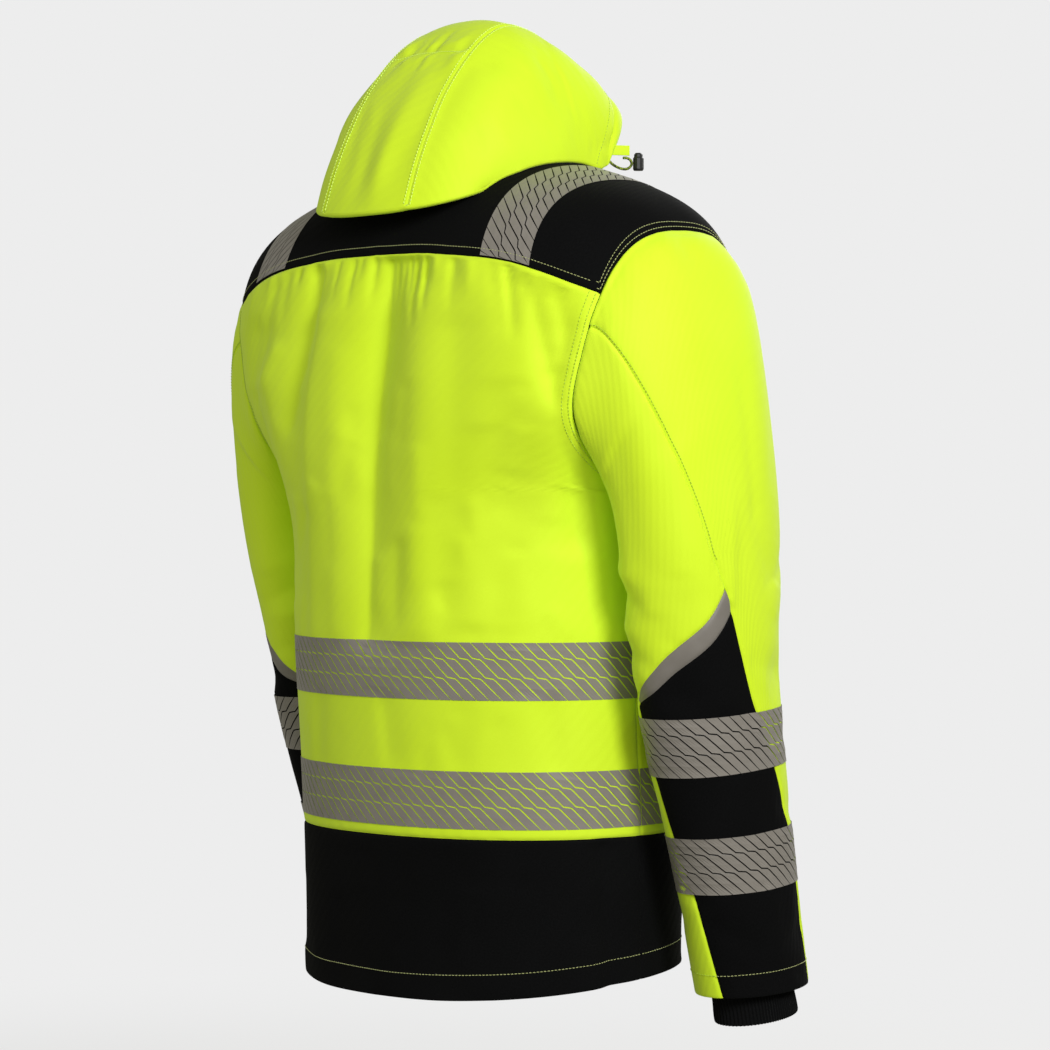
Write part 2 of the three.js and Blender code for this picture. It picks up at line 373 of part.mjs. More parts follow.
pair('sleeve_under', wall(underPart, steps(0, 1, 8), steps(0, 12, 12), 0, -CLOTH, SLEEVE), YELLOW);
pair('sleeve_back', wall(backPart, steps(0, 1, 6), steps(0, 6, 6), 0, -CLOTH, SLEEVE), YELLOW);
pair('sleeve_insert', wall(backPart, steps(0, 1, 6), [6, 7], 0, -CLOTH, SLEEVE), SILVER);
pair('forearm', wall(backPart, steps(0, 1, 6), steps(7, 12, 5), 0, -CLOTH, SLEEVE), BLACK);
const around = steps(0, 2 * Math.PI, 26).map((t, i) => i === 26 ? 2 * Math.PI : ((a => a < -1e-9 ? a + 2 * Math.PI : a)(Math.atan2(45 * Math.sin(t), 68 * Math.cos(t)))));
for (const [name, z] of [['sleeve_tape_upper', S_TAPE1], ['sleeve_tape_lower', S_TAPE2]])
  pair(name, wall(sleeve, around, steps(runOf(z), runOf(z - TAPE_W), 1), 0.9 + BAND, 0.9, { flip: true, closed: true }), SILVER);
// knitted cuff inside the sleeve end
const CUFF = table(['z', 'k'], [[-703, 1.16], [-712, 1.06], [-722, 1.0], [CUFF_END, 0.98]]);
const cuff = (th, z) => { const s = Math.sin(th), c = Math.cos(th), k = CUFF.k(z), r = superEllipse(s, c, 33 * k, 43 * k, 2); return [-(239 + r * s), -98 + r * c + (z + 730) * 0.22, z - 0.12 * r * c]; };
pair('cuff', wall(cuff, steps(0, 2 * Math.PI, 18), [-703, -712, -722, CUFF_END], 0, -CLOTH, { flip: true, closed: true }), RIB);

export default jacket;
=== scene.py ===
import math
import bpy
import numpy as np
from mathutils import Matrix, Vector


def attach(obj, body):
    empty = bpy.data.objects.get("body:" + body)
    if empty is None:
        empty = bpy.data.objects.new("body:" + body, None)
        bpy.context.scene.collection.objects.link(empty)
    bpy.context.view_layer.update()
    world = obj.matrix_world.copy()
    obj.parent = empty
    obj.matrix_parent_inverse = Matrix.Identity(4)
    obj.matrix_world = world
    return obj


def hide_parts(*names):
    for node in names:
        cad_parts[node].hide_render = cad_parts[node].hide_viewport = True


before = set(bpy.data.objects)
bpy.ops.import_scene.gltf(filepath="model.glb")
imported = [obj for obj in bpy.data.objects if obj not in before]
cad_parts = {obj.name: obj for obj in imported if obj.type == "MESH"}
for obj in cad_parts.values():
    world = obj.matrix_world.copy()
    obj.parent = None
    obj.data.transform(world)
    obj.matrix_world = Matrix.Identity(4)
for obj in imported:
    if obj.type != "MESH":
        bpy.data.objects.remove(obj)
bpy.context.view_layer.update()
MM = 0.001
D2R = math.pi / 180

# ---------------------------------------------------------------- camera
AZ, EL, DIST = 225.0, 0.5, 3.2
AIM = Vector((-0.027, -0.027, -0.325))
cam_data = bpy.data.cameras.new("camera")
cam_data.sensor_width = 36.0
cam_data.lens = 3520.0 / 1050.0 * 36.0
cam_data.clip_start, cam_data.clip_end = 0.05, 200.0
cam = bpy.data.objects.new("camera", cam_data)
bpy.context.scene.collection.objects.link(cam)
away = Vector((math.sin(AZ * D2R) * math.cos(EL * D2R), -math.cos(AZ * D2R) * math.cos(EL * D2R), math.sin(EL * D2R)))
cam.location = AIM + away * DIST
cam.rotation_mode = "QUATERNION"
cam.rotation_quaternion = (-away).to_track_quat("-Z", "Y")
bpy.context.scene.camera = cam

# ---------------------------------------------------------------- sizes (mm), from the part's source; hood, sleeve seam, insert and folds are moved nearer the photo
CLOTH = 2.0
TAPE_W = 50
TAPE1, TAPE2, LOWER = -425, -537, -596
RING, UNDERARM = -150, -295
NECK = dict(a=82, bb=92, bf=62, n=2.0, z=4)
SHOULDER_SLOPE, BACK_SLOPE, FRONT_SLOPE = 16, 40, 46
ZIP_HALF, COLLAR_H = 7, 64
S_RING, S_TAPE1, S_TAPE2, S_HEM, S_TILT, CUFF_END = -345, -485, -589, -731, 0.35, -757


def spline(xs, ys):
    n = len(xs)
    d = np.diff(ys) / np.diff(xs)
    m = np.zeros(n)
    m[0], m[-1] = d[0], d[-1]
    for i in range(1, n - 1):
        h0, h1 = xs[i] - xs[i - 1], xs[i + 1] - xs[i]
        m[i] = 0 if d[i - 1] * d[i] <= 0 else (d[i - 1] * h1 + d[i] * h0) / (h0 + h1)

    def f(x):
        x = np.clip(np.asarray(x, float), xs[0], xs[-1])
        i = np.clip(np.searchsorted(xs, x) - 1, 0, n - 2)
        h = xs[i + 1] - xs[i]
        t = (x - xs[i]) / h
        return ys[i] * (2 * t**3 - 3 * t * t + 1) + h * m[i] * (t**3 - 2 * t * t + t) + ys[i + 1] * (3 * t * t - 2 * t**3) + h * m[i + 1] * (t**3 - t * t)

    return f


def table(names, rows):
    a = np.array(rows, float)
    if a[0, 0] > a[-1, 0]:
        a = a[::-1]
    return {k: spline(a[:, 0].copy(), a[:, i + 1].copy()) for i, k in enumerate(names.split()[1:])}


BODY = table("z a yc bb bf n", [
    [-150, 262, -14, 156, 108, 3.00], [-220, 238, -10, 160, 130, 2.90], [-290, 200, -6, 158, 144, 2.40],
    [-425, 187, -6, 155, 146, 2.20], [-590, 184, -14, 154, 144, 2.20], [-760, 182, -18, 155, 146, 2.20]])
ARMHOLE = table("z x", [[-40, 240], [-64, 240], [-125, 233], [-180, 219], [-235, 205], [-295, 198.2]])["x"]
YOKE_BACK = table("deg z", [[0, -86], [30, -89], [50, -100], [66, -127], [80, -150]])["z"]
YOKE_FRONT = table("deg z", [[0, -84], [30, -88], [50, -98], [66, -118], [80, -140]])["z"]
HEM = table("deg z", [[0, -738], [30, -737], [60, -731], [90, -722], [120, -714], [180, -708]])["z"]
ARM = table("z x y rx ry n", [
    [-255, -250, -12, 50, 88, 2.2], [-350, -245, -24, 48, 86, 2.2], [-430, -241, -34, 48, 78, 2.2],
    [-500, -239, -46, 47, 72, 2.2], [-610, -239, -72, 45, 62, 2.1], [-735, -239, -99, 44, 57, 2.0]])
SEAM_G = table("q deg", [[0, 13], [0.25, 18], [0.5, 26], [0.75, 37], [1, 51], [1.3, 64], [2.4, 99], [2.85, 118], [3.4, 132], [4.86, 145]])["deg"]
SEAM_E = table("q deg", [[0, -62], [1, -52], [2, -34], [2.3, -19], [2.9, -14], [3.4, -9], [4, 2], [4.86, 14]])["deg"]
SEAM_F = -145
INSERT = table("c up low", [[0, 2.24, 2.29], [0.2, 2.10, 2.20], [0.42, 1.90, 2.04], [0.75, 1.59, 1.76], [1, 1.306, 1.51]])
HOOD = table("v by bz my mz w k", [
    [0.00, -64, 3, -103, 66, 98, 3.2], [0.18, -48, -3, -64, 97, 102, 3.1], [0.36, -22, 0.5, -22, 121, 104, 2.75],
    [0.52, 5, -0.5, 15, 131, 107, 2.4], [0.66, 32, -4.5, 54, 112, 108, 2.6], [0.78, 56, -11, 92, 71, 108, 2.8],
    [0.88, 76, -19, 120, 30, 103, 2.45], [0.95, 88, -26, 140, -12, 100, 2.3], [1.00, 93, -30, 153, -50, 98, 2.25]])
GUSSET = (44, 54)
# large soft folds: p0 p1 z0 z1 w d
FOLDS = [(6, 1, -100, -430, 9, -7), (24, 25, -110, -430, 9, 3), (-12, -14, -100, -420, 9, 2), (-27, -36, -100, -300, 7, -4),
         (48, 60, -200, -420, 7, -4), (-52, -62, -200, -420, 8, -5), (150, 146, -130, -420, 9, -4), (-150, -147, -130, -420, 9, -4)]


def lerp(a, b, t):
    return a + (b - a) * t


def smooth(t):
    t = np.clip(t, 0, 1)
    return t * t * (3 - 2 * t)


def polar(s, c, a, b, n):
    return ((np.abs(s) / a) ** n + (np.abs(c) / b) ** n) ** (-1 / n)


def bisect(lo, hi, below, k=40):
    lo, hi = np.array(lo, float), np.array(hi, float)
    for _ in range(k):
        m = (lo + hi) / 2
        b = below(m)
        lo = np.where(b, m, lo)
        hi = np.where(b, hi, m)
    return (lo + hi) / 2


# a crease is a straight soft trough (depth below 0) or ridge: from (x0, y0) to (x1, y1), width on each side of its line,
# strength at both ends, and how sharp its middle is (2 is round, 1.2 a fold line)
CREASE = "x0 y0 x1 y1 wl wr depth a0 a1 sharp".split()


def creases(x, y, rows):
    out = np.zeros(np.broadcast(x, y).shape)
    for x0, y0, x1, y1, wl, wr, depth, a0, a1, sharp in rows:
        dx, dy = x1 - x0, y1 - y0
        L = math.hypot(dx, dy)
        t = ((x - x0) * dx + (y - y0) * dy) / (L * L)
        e = ((x - x0) * dy - (y - y0) * dx) / L
        if dy > 0:
            e = -e
        e = -e
        w = np.where(e < 0, wl, wr)
        beyond = np.where(t < 0, -t, np.where(t > 1, t - 1, 0)) * L
        ends = smooth(t * L / 10 + 0.5) * smooth((1 - t) * L / 22 + 0.3)
        prof = np.exp(-np.abs(e / w) ** sharp - (beyond / (0.9 * min(wl, wr) + 3)) ** 2)
        out += depth * lerp(a0, a1, np.clip(t, 0, 1)) * prof * ends
    return out


def fold_height(phi, z):
    deg = phi / D2R
    d = np.zeros(np.broadcast(phi, z).shape)
    for p0, p1, z0, z1, w, h in FOLDS:
        t = (z - z0) / (z1 - z0)
        ok = (t > 0) & (t < 1)
        g = (deg - lerp(p0, p1, t)) / w
        d += np.where(ok, h * np.exp(-g * g) * np.sin(np.pi * np.sqrt(np.clip(t, 0, 1))), 0)
    return d


# creases of the body, x in mm round the body from the middle of the back (2.8 mm a degree), y the height
K = 2.8
BODY_CREASES = [
    (6.2 * K, -86, 0.5 * K, -440, 13, 40, -10.5, 0.8, 0.55, 1.25),
    (23 * K, -120, 25 * K, -430, 26, 24, 3.0, 0.6, 0.8, 2.0),
    (-26 * K, -92, -36 * K, -245, 8, 13, -6.5, 0.9, 0.6, 1.4),
    (-22 * K, -130, -27 * K, -440, 12, 26, 3.4, 0.8, 0.6, 1.8),
    (14 * K, -90, 12.5 * K, -150, 4, 6, -2.2, 1, 0.4, 1.5),
    (59 * K, -122, 62.0 * K, -212, 7, 8, -7.0, 1, 0.5, 1.4),
    (52.5 * K, -112, 60 * K, -225, 8, 7, -6.0, 1, 0.7, 1.5),
    (64 * K, -190, 71 * K, -350, 13, 15, -7.5, 0.8, 0.6, 1.8),
    (46 * K, -112, 48 * K, -165, 7, 8, -2.0, 1, 0.6, 1.7),
    (36 * K, -150, 37 * K, -330, 13, 15, -1.8, 0.8, 0.5, 2.0),
    (44 * K, -240, 50 * K, -430, 16, 20, -2.2, 0.5, 1.0, 2.0),
    (31 * K, -300, 33 * K, -430, 12, 16, -1.6, 0.5, 1.0, 2.0),
    (-44 * K, -104, -48 * K, -190, 7, 9, -3.0, 1, 0.5, 1.5),
    (-50 * K, -140, -58 * K, -310, 12, 14, -4.5, 0.9, 0.6, 1.6),
    (-12 * K, -170, -13 * K, -430, 14, 16, 1.5, 0.7, 0.7, 2.0),
    (-66 * K, -210, -74 * K, -400, 14, 16, -4.5, 0.8, 0.6, 1.8),
    (82 * K, -300, 86 * K, -420, 12, 12, -3.5, 1, 0.6, 1.8),
    (-84 * K, -300, -86 * K, -420, 12, 12, -3.5, 1, 0.6, 1.8),
    (9 * K, -472, 11 * K, -540, 10, 20, -1.6, 1, 1, 2.0), (38 * K, -478, 36 * K, -540, 14, 14, -1.2, 1, 1, 2.0),
    (-25 * K, -472, -28 * K, -545, 12, 14, -1.5, 1, 1, 2.0), (62 * K, -470, 64 * K, -545, 12, 12, -1.6, 1, 1, 2.0),
    (76 * K, -600, 80 * K, -742, 9, 16, -5.0, 0.8, 1.1, 1.5), (-72 * K, -600, -76 * K, -742, 10, 15, -4.5, 0.8, 1.1, 1.6),
    (33 * K, -608, 30 * K, -742, 20, 26, -2.4, 0.4, 1, 2.0), (-14 * K, -610, -17 * K, -742, 18, 22, -2.6, 0.4, 1, 2.0),
    (10 * K, -640, 8 * K, -742, 18, 22, 2.2, 0.3, 1, 2.0), (52 * K, -640, 54 * K, -742, 20, 20, 2.0, 0.3, 1, 2.0),
    (118 * K, -150, 110 * K, -300, 9, 12, -4.0, 1, 0.6, 1.5), (128 * K, -125, 121 * K, -330, 12, 14, -3.6, 0.9, 0.6, 1.7),
    (150 * K, -120, 147 * K, -420, 22, 14, -3.0, 0.7, 0.8, 1.6), (164 * K, -250, 160 * K, -425, 12, 14, -2.2, 0.6, 1, 2.0),
    (138 * K, -260, 133 * K, -425, 14, 16, 2.2, 0.6, 0.8, 2.0), (106 * K, -270, 101 * K, -425, 10, 12, -3.2, 1, 0.6, 1.7),
    (-116 * K, -150, -109 * K, -290, 10, 9, -4.0, 1, 0.6, 1.5), (-130 * K, -125, -124 * K, -360, 13, 12, -3.2, 0.9, 0.6, 1.7),
    (-151 * K, -118, -149 * K, -400, 14, 20, -3.2, 0.7, 0.8, 1.6), (-162 * K, -300, -159 * K, -425, 12, 12, -2.0, 0.6, 1, 2.0),
    (-139 * K, -240, -135 * K, -425, 15, 14, 2.0, 0.6, 0.8, 2.0), (-107 * K, -290, -102 * K, -425, 11, 10, -3.0, 1, 0.6, 1.7),
    (150 * K, -474, 148 * K, -540, 14, 14, -1.6, 1, 1, 2.0), (-146 * K, -474, -149 * K, -540, 14, 14, -1.6, 1, 1, 2.0),
    (125 * K, -605, 122 * K, -720, 18, 20, -3.0, 0.4, 1, 2.0), (-120 * K, -605, -124 * K, -720, 18, 20, -3.0, 0.4, 1, 2.0),
    (158 * K, -620, 157 * K, -712, 16, 18, -2.2, 0.4, 1, 2.0), (-160 * K, -620, -157 * K, -712, 16, 18, -2.0, 0.4, 1, 2.0),
]
rng = np.random.default_rng(7)


def gathers(lo, hi, step, depth, reach):
    rows, d = [], lo
    while d < hi:
        d += step * rng.uniform(0.62, 1.4)
        s = -1 if rng.random() < 0.68 else 0.8
        L, w = rng.uniform(*reach), rng.uniform(2.6, 5.2)
        z = float(YOKE_BACK(abs(d))) if abs(d) < 90 else float(YOKE_FRONT(180 - abs(d)))
        rows.append((d * K, z + 2, (d + rng.uniform(-2, 2) * L / 60) * K, z - L, w, w * rng.uniform(0.8, 1.5), 1.9 * s * depth * rng.uniform(0.5, 1.35), 1, 0.25, 1.6))
    return rows


BODY_CREASES += gathers(-60, -34, 6.0, 2.0, (20, 55)) + gathers(-34, 4, 5.4, 1.6, (18, 48)) + gathers(4, 30, 4.8, 2.3, (22, 66))
BODY_CREASES += gathers(30, 44, 5.4, 1.7, (20, 55)) + gathers(44, 64, 4.8, 2.8, (26, 70))
BODY_CREASES += gathers(114, 172, 6.6, 1.7, (16, 50)) + gathers(-172, -114, 6.6, 1.7, (16, 50))


def slack(n, x0, x1, y0, y1, lean, size):
    """Shallow uneven dents and swells of the slack cloth."""
    rows = []
    for _ in range(n):
        x, y, L, a = rng.uniform(x0, x1), rng.uniform(y0, y1), rng.uniform(22, 80), lean + rng.normal(0, 0.35)
        w = rng.uniform(6, 15)
        rows.append((x, y, x + L * math.sin(a), y - L * math.cos(a), w, w * rng.uniform(0.8, 1.9), size * rng.choice([-1.0, 1.0]) * rng.uniform(0.35, 1.0), 0.8, 0.6, 1.8))
    return rows


BODY_CREASES += slack(46, -70 * K, 74 * K, -430, -150, 0.0, 1.9) + slack(22, -74 * K, 76 * K, -720, -600, 0.1, 1.6) + slack(16, -74 * K, 76 * K, -520, -480, 0.1, 0.8)
BODY_CREASES += slack(34, 104 * K, 172 * K, -430, -130, 0.1, 1.8) + slack(34, -172 * K, -104 * K, -430, -130, -0.1, 1.8) + slack(14, 104 * K, 256 * K, -720, -600, 0.0, 1.3)


def body(phi, m, look=False):
    """A point of the body: phi from the middle of the back towards the right arm, m the height, or its run over the shoulder."""
    phi, m = np.broadcast_arrays(np.asarray(phi, float), np.asarray(m, float))
    zb = np.minimum(m, RING)
    s, c = np.sin(phi), np.cos(phi)
    r1 = polar(s, c, BODY["a"](zb), np.where(c >= 0, BODY["bb"](zb), BODY["bf"](zb)), BODY["n"](zb))
    yc = BODY["yc"](zb)
    r0 = polar(s, c, NECK["a"], np.where(c >= 0, NECK["bb"], NECK["bf"]), NECK["n"])
    t = np.clip((m - RING) / -RING, 0, 1)
    sd, fr, bk = s * s, np.where(c < 0, c * c, 0), np.where(c < 0, 0, c * c)
    k1, k2 = 0.72 * sd + 0.45 * bk + 0.42 * fr, 0.62 * sd + 0.50 * bk + 0.50 * fr
    sl = np.tan((SHOULDER_SLOPE * sd + BACK_SLOPE * bk + FRONT_SLOPE * fr) * D2R)
    dr, z0 = r1 - r0, NECK["z"] - 6 * fr
    b0, b1, b2, b3 = (1 - t) ** 3, 3 * t * (1 - t) ** 2, 3 * t * t * (1 - t), t**3
    r = np.where(m > RING, (b0 + b1) * r1 + b2 * (r0 + k2 * dr) + b3 * r0, r1)
    z = np.where(m > RING, b0 * RING + b1 * (RING - k1 * RING) + b2 * (z0 - k2 * dr * sl) + b3 * z0, m)
    r = r + fold_height(phi, z)
    if look:
        deg = np.abs(phi) / D2R
        x = r * s
        below = np.where(deg < 90, YOKE_BACK(deg), YOKE_FRONT(180 - deg)) - z
        arm = np.maximum(smooth((ARMHOLE(z) - np.abs(x) - 1) / 11), smooth((-292 - z) / 50))
        zipped = np.where(deg > 90, smooth((np.abs(x) - 8) / 16), 1)
        tape = 1 - 0.35 * (smooth((TAPE1 + 12 - z) / 24) * smooth((z - TAPE1 + 62) / 14) + smooth((TAPE2 + 8 - z) / 16) * smooth((z - TAPE2 + 62) / 14))
        r = r + 1.15 * creases(phi / D2R * K, z, BODY_CREASES) * smooth(below / 7) * arm * zipped * tape
    return np.stack([-r * s, yc + r * c, z], -1)


def beyond_arm(phi, m):
    p = body(phi, m)
    return np.abs(p[..., 0]) - ARMHOLE(p[..., 2])


def arm_phi(m, front):
    m = np.asarray(m, float)
    a = bisect(np.zeros(m.shape), np.full(m.shape, math.pi / 2), lambda p: beyond_arm(math.pi - p if front else p, m) < 0)
    a = np.where(m <= UNDERARM, math.pi / 2, a)
    return math.pi - a if front else a


def seam_m_exact(phi):
    phi = np.asarray(phi, float)
    deg = np.abs(phi) / D2R
    z = np.where(deg < 90, YOKE_BACK(deg), YOKE_FRONT(180 - deg))
    return bisect(np.full(phi.shape, RING - 60.0), np.zeros(phi.shape), lambda m: body(phi, m)[..., 2] < z)


def corner_of(front):
    side = (lambda p: math.pi - p) if front else (lambda p: p)
    a = bisect(0.3, math.pi / 2 - 0.02, lambda p: beyond_arm(side(p), seam_m_exact(side(p))) < 0)
    p = float(side(a))
    return p, float(seam_m_exact(p))


CB, CF = corner_of(False), corner_of(True)
_ph = np.linspace(-math.pi, math.pi, 1441)
_sm = seam_m_exact(_ph)


def seam_m(phi):
    return np.interp(phi, _ph, _sm)


_ps = np.linspace(CB[0], CF[0], 160)
_shm = bisect(np.zeros(160), np.full(160, min(CB[1], CF[1]) - 25.0), lambda m: beyond_arm(_ps, m) < 0)


def shoulder_m(phi):
    return np.interp(phi, _ps, _shm)


def zip_phi(m, half=ZIP_HALF):
    m = np.asarray(m, float)
    p = body(math.pi, m)
    return math.pi - np.arcsin(half / np.abs(p[..., 1] - BODY["yc"](np.minimum(m, RING))))


_am = {f: np.linspace(UNDERARM, (CF if f else CB)[1], 240) for f in (False, True)}
_ap = {f: arm_phi(np.maximum(_am[f], UNDERARM + 1e-6), f) for f in (False, True)}
ROWS = [TAPE1, TAPE1 - 25, TAPE1 - TAPE_W, -506, TAPE2, TAPE2 - 25, TAPE2 - TAPE_W, LOWER]
SEAM_FRONT = float(seam_m_exact(math.pi))
SZ, NZ = float(zip_phi(SEAM_FRONT)), float(zip_phi(-0.5))


def panel_point(c, w, front, look=True):
    C = CF if front else CB
    edge = np.interp(w, np.arange(10), [C[1], UNDERARM] + ROWS)
    lim = np.where(w <= 1, np.interp(edge, _am[front], _ap[front]), math.pi / 2)
    f2 = smooth(1 - w / 0.6)
    if not front:
        return body(c * lim, edge + (seam_m(c * C[0]) - C[1]) * f2, look)
    t0 = lerp(C[0], SZ, c)
    m = edge + (seam_m(t0) - C[1]) * f2
    return body(lerp(lim, zip_phi(m), c), m, look)


def lower_point(c, w, front, look=True):
    at = lambda m: lerp(math.pi / 2, zip_phi(m), c) if front else c * math.pi / 2
    m = lerp(LOWER, HEM(np.abs(at(-700 + 0 * c)) / D2R), w)
    return body(at(m), m, look)


def yoke_point(p, w, look=False):
    a = np.abs(p)
    k = np.where(a > CF[0], (a - CF[0]) / (SZ - CF[0]), 0)
    pt = np.where(a > CF[0], lerp(CF[0], lerp(NZ, SZ, w), k), a)
    e = np.where((a < CB[0]) | (a > CF[0]), seam_m(a), shoulder_m(a))
    P = body(np.sign(p) * pt, e * w)
    return P


def collar_point(phi, h):
    s, c = np.sin(phi), np.cos(phi)
    e = np.sin(h * math.pi / 2)
    r = polar(s, c, NECK["a"] - 8 * e, np.where(c >= 0, NECK["bb"] - 12 * e, NECK["bf"] + 2 * e), 2)
    fr = np.where(c < 0, c * c, 0)
    return np.stack([-r * s, BODY["yc"](RING) + r * c, NECK["z"] - 6 * fr + 0.6 + h * (COLLAR_H + 4 * fr)], -1)


# ---------------------------------------------------------------- sleeve, right side
def _loop():
    ms = np.linspace(UNDERARM + 1.5, CB[1], 51)
    mf = np.linspace(CF[1], UNDERARM + 1.5, 51)[1:]
    ps = np.linspace(CB[0], CF[0], 61)[1:]
    pts = np.concatenate([body([math.pi / 2], [UNDERARM]), body(arm_phi(ms, False), ms), body(ps, shoulder_m(ps)), body(arm_phi(mf, True), mf), body([math.pi / 2], [UNDERARM])])
    return pts, np.unwrap(np.arctan2(pts[:, 2] + 180, pts[:, 1] + 8))


LOOP, LOOP_A = _loop()


def armhole_point(th):
    a = LOOP_A[0] + np.mod(np.asarray(th, float) - LOOP_A[0], 2 * math.pi)
    return np.stack([np.interp(a, LOOP_A, LOOP[:, i]) for i in range(3)], -1)


def unit(v):
    return v / np.maximum(np.linalg.norm(v, axis=-1, keepdims=True), 1e-12)


def arm_ring(th, z):
    th, z = np.broadcast_arrays(np.asarray(th, float), np.asarray(z, float))
    c = np.stack([ARM["x"](z), ARM["y"](z), z], -1)
    t = unit(np.stack([ARM["x"](z - 2) - ARM["x"](z + 2), ARM["y"](z - 2) - ARM["y"](z + 2), np.full(z.shape, -4.0)], -1))
    t = unit(t * S_TILT + np.array([0, 0, -(1 - S_TILT)]))
    X = np.array([-1.0, 0, 0])
    X = unit(X - t * (t @ X)[..., None])
    Y = np.array([0, 1.0, 0])
    Y = Y - t * (t @ Y)[..., None]
    Y = unit(Y - X * np.sum(X * Y, -1)[..., None])
    s, co = np.sin(th), np.cos(th)
    r = polar(s, co, ARM["rx"](z), ARM["ry"](z), ARM["n"](z))
    return c + X * (r * s)[..., None] + Y * (r * co)[..., None]


def sleeve0(th, q):
    th, q = np.broadcast_arrays(np.asarray(th, float), np.asarray(q, float))
    tube = arm_ring(th, S_RING - (np.maximum(q, 1) - 1) * 100)
    p0 = armhole_point(th) - np.array([0.3, 0, 0])
    p1, b = arm_ring(th, S_RING), arm_ring(th, S_RING - 5)
    s, c = np.sin(th), np.cos(th)
    span = np.linalg.norm(p1 - p0, axis=-1, keepdims=True)
    up, dn = np.maximum(0, s), np.maximum(0, -s)
    d0 = np.stack([-(0.95 * up + 0.55 * (1 - up) * (1 - dn) + 0.30 * dn), np.where(c > 0, -0.16 * c * c, 0.10 * c), -(0.22 * up + 0.30 * (1 - up) + 0.5 * dn)], -1)
    t0 = d0 * span * (0.48 + 0.25 * (1 - up))[..., None]
    t1 = unit(b - p1) * span * (0.95 - 0.1 * dn)[..., None]
    k = np.clip(q, 0, 1)[..., None]
    head = p0 * (2 * k**3 - 3 * k * k + 1) + t0 * (k**3 - 2 * k * k + k) + p1 * (3 * k * k - 2 * k**3) + t1 * (k**3 - k * k)
    return np.where((q >= 1)[..., None], tube, head)


def run_of(z):
    return 1 + (S_RING - z) / 100


HEM_Q = run_of(S_HEM)
# creases of the sleeve, x in mm round the arm from the back (1.15 mm a degree), y in mm down the arm (100 at the sleeve ring)
S = 1.15
SLEEVE_CREASES = [
    (-4 * S, 15, 22 * S, 235, 20, 22, -4.6, 0.7, 0.8, 1.9), (34 * S, 40, 62 * S, 240, 24, 24, 2.2, 0.6, 0.8, 2.0),
    (-70 * S, 92, 4 * S, 128, 7, 9, 3.6, 0.9, 0.3, 1.6), (-66 * S, 112, 6 * S, 152, 8, 8, -4.2, 1, 0.3, 1.5),
    (-64 * S, 146, -2 * S, 172, 8, 9, 2.8, 1, 0.3, 1.7), (-60 * S, 172, 8 * S, 196, 8, 8, -3.2, 1, 0.3, 1.5),
    (-58 * S, 214, 2 * S, 226, 8, 10, -2.4, 1, 0.4, 1.7), (-58 * S, 262, -4 * S, 268, 9, 10, -2.0, 1, 0.4, 1.8),
    (96 * S, 196, 158 * S, 212, 9, 12, -1.8, 0.4, 1, 1.8), (100 * S, 262, 164 * S, 270, 8, 11, -2.0, 0.4, 1, 1.8), (112 * S, 326, 170 * S, 338, 9, 11, -1.8, 0.4, 1, 1.8),
    (206 * S, 150, 290 * S, 128, 9, 11, -4.2, 0.7, 1, 1.6), (196 * S, 192, 296 * S, 176, 10, 11, -4.6, 0.6, 1, 1.6),
    (200 * S, 226, 288 * S, 236, 10, 12, -4.4, 0.6, 1, 1.6), (190 * S, 262, 280 * S, 288, 10, 12, -3.2, 0.7, 1, 1.7),
    (60 * S, 292, 84 * S, 470, 22, 22, 1.8, 0.4, 1, 2.0), (10 * S, 420, 62 * S, 446, 10, 12, -2.0, 1, 0.3, 1.8), (84 * S, 448, 140 * S, 432, 9, 12, -2.0, 0.3, 1, 1.8),
    (28 * S, 468, 92 * S, 464, 8, 10, -1.4, 0.8, 0.8, 1.8), (182 * S, 440, 250 * S, 452, 10, 10, -2.2, 1, 0.4, 1.8),
    (250 * S, 60, 262 * S, 190, 12, 14, -3.6, 0.8, 0.6, 1.8), (172 * S, -20, 186 * S, 120, 16, 18, -3.0, 0.5, 0.8, 2.0),
    (40 * S, -30, 46 * S, 30, 12, 12, -1.2, 0.8, 0.4, 2.0),
]
for d in np.arange(16, 168, 8.6):
    L = rng.uniform(20, 52)
    SLEEVE_CREASES.append(((d + rng.uniform(-2.5, 2.5)) * S, -78, (d + rng.uniform(-4, 4)) * S, -78 + L, rng.uniform(3.2, 4.6), rng.uniform(3.6, 5.4), rng.uniform(-3.0, -1.6), 1, 0.25, 1.7))
SLEEVE_CREASES += slack(26, -60 * S, 150 * S, 60, 300, 0.25, 1.5) + slack(14, 180 * S, 230 * S, 60, 300, -0.25, 1.6) + slack(20, -60 * S, 200 * S, 330, 480, 0.5, 1.1)


def sleeve_relief(th, q, side):
    deg = np.mod(th / D2R + 150, 360) - 150
    deg = np.where(deg < -120, deg + 360, deg)
    y = np.where(q < 1, 100 - 180 * (1 - q), 100 * q)
    x = deg * S
    if side < 0:
        return 1.35 * creases(x, y, SLEEVE_CREASES) * smooth((q + 0.002) / 0.05)
    rows = [(a, b + 7 * math.sin(3 * i), c, d + 7 * math.sin(3 * i), e, f, g * (0.8 + 0.3 * math.sin(5 * i)), h, j, k) for i, (a, b, c, d, e, f, g, h, j, k) in enumerate(SLEEVE_CREASES)]
    return 1.35 * creases(x, y, rows) * smooth((q + 0.002) / 0.05)


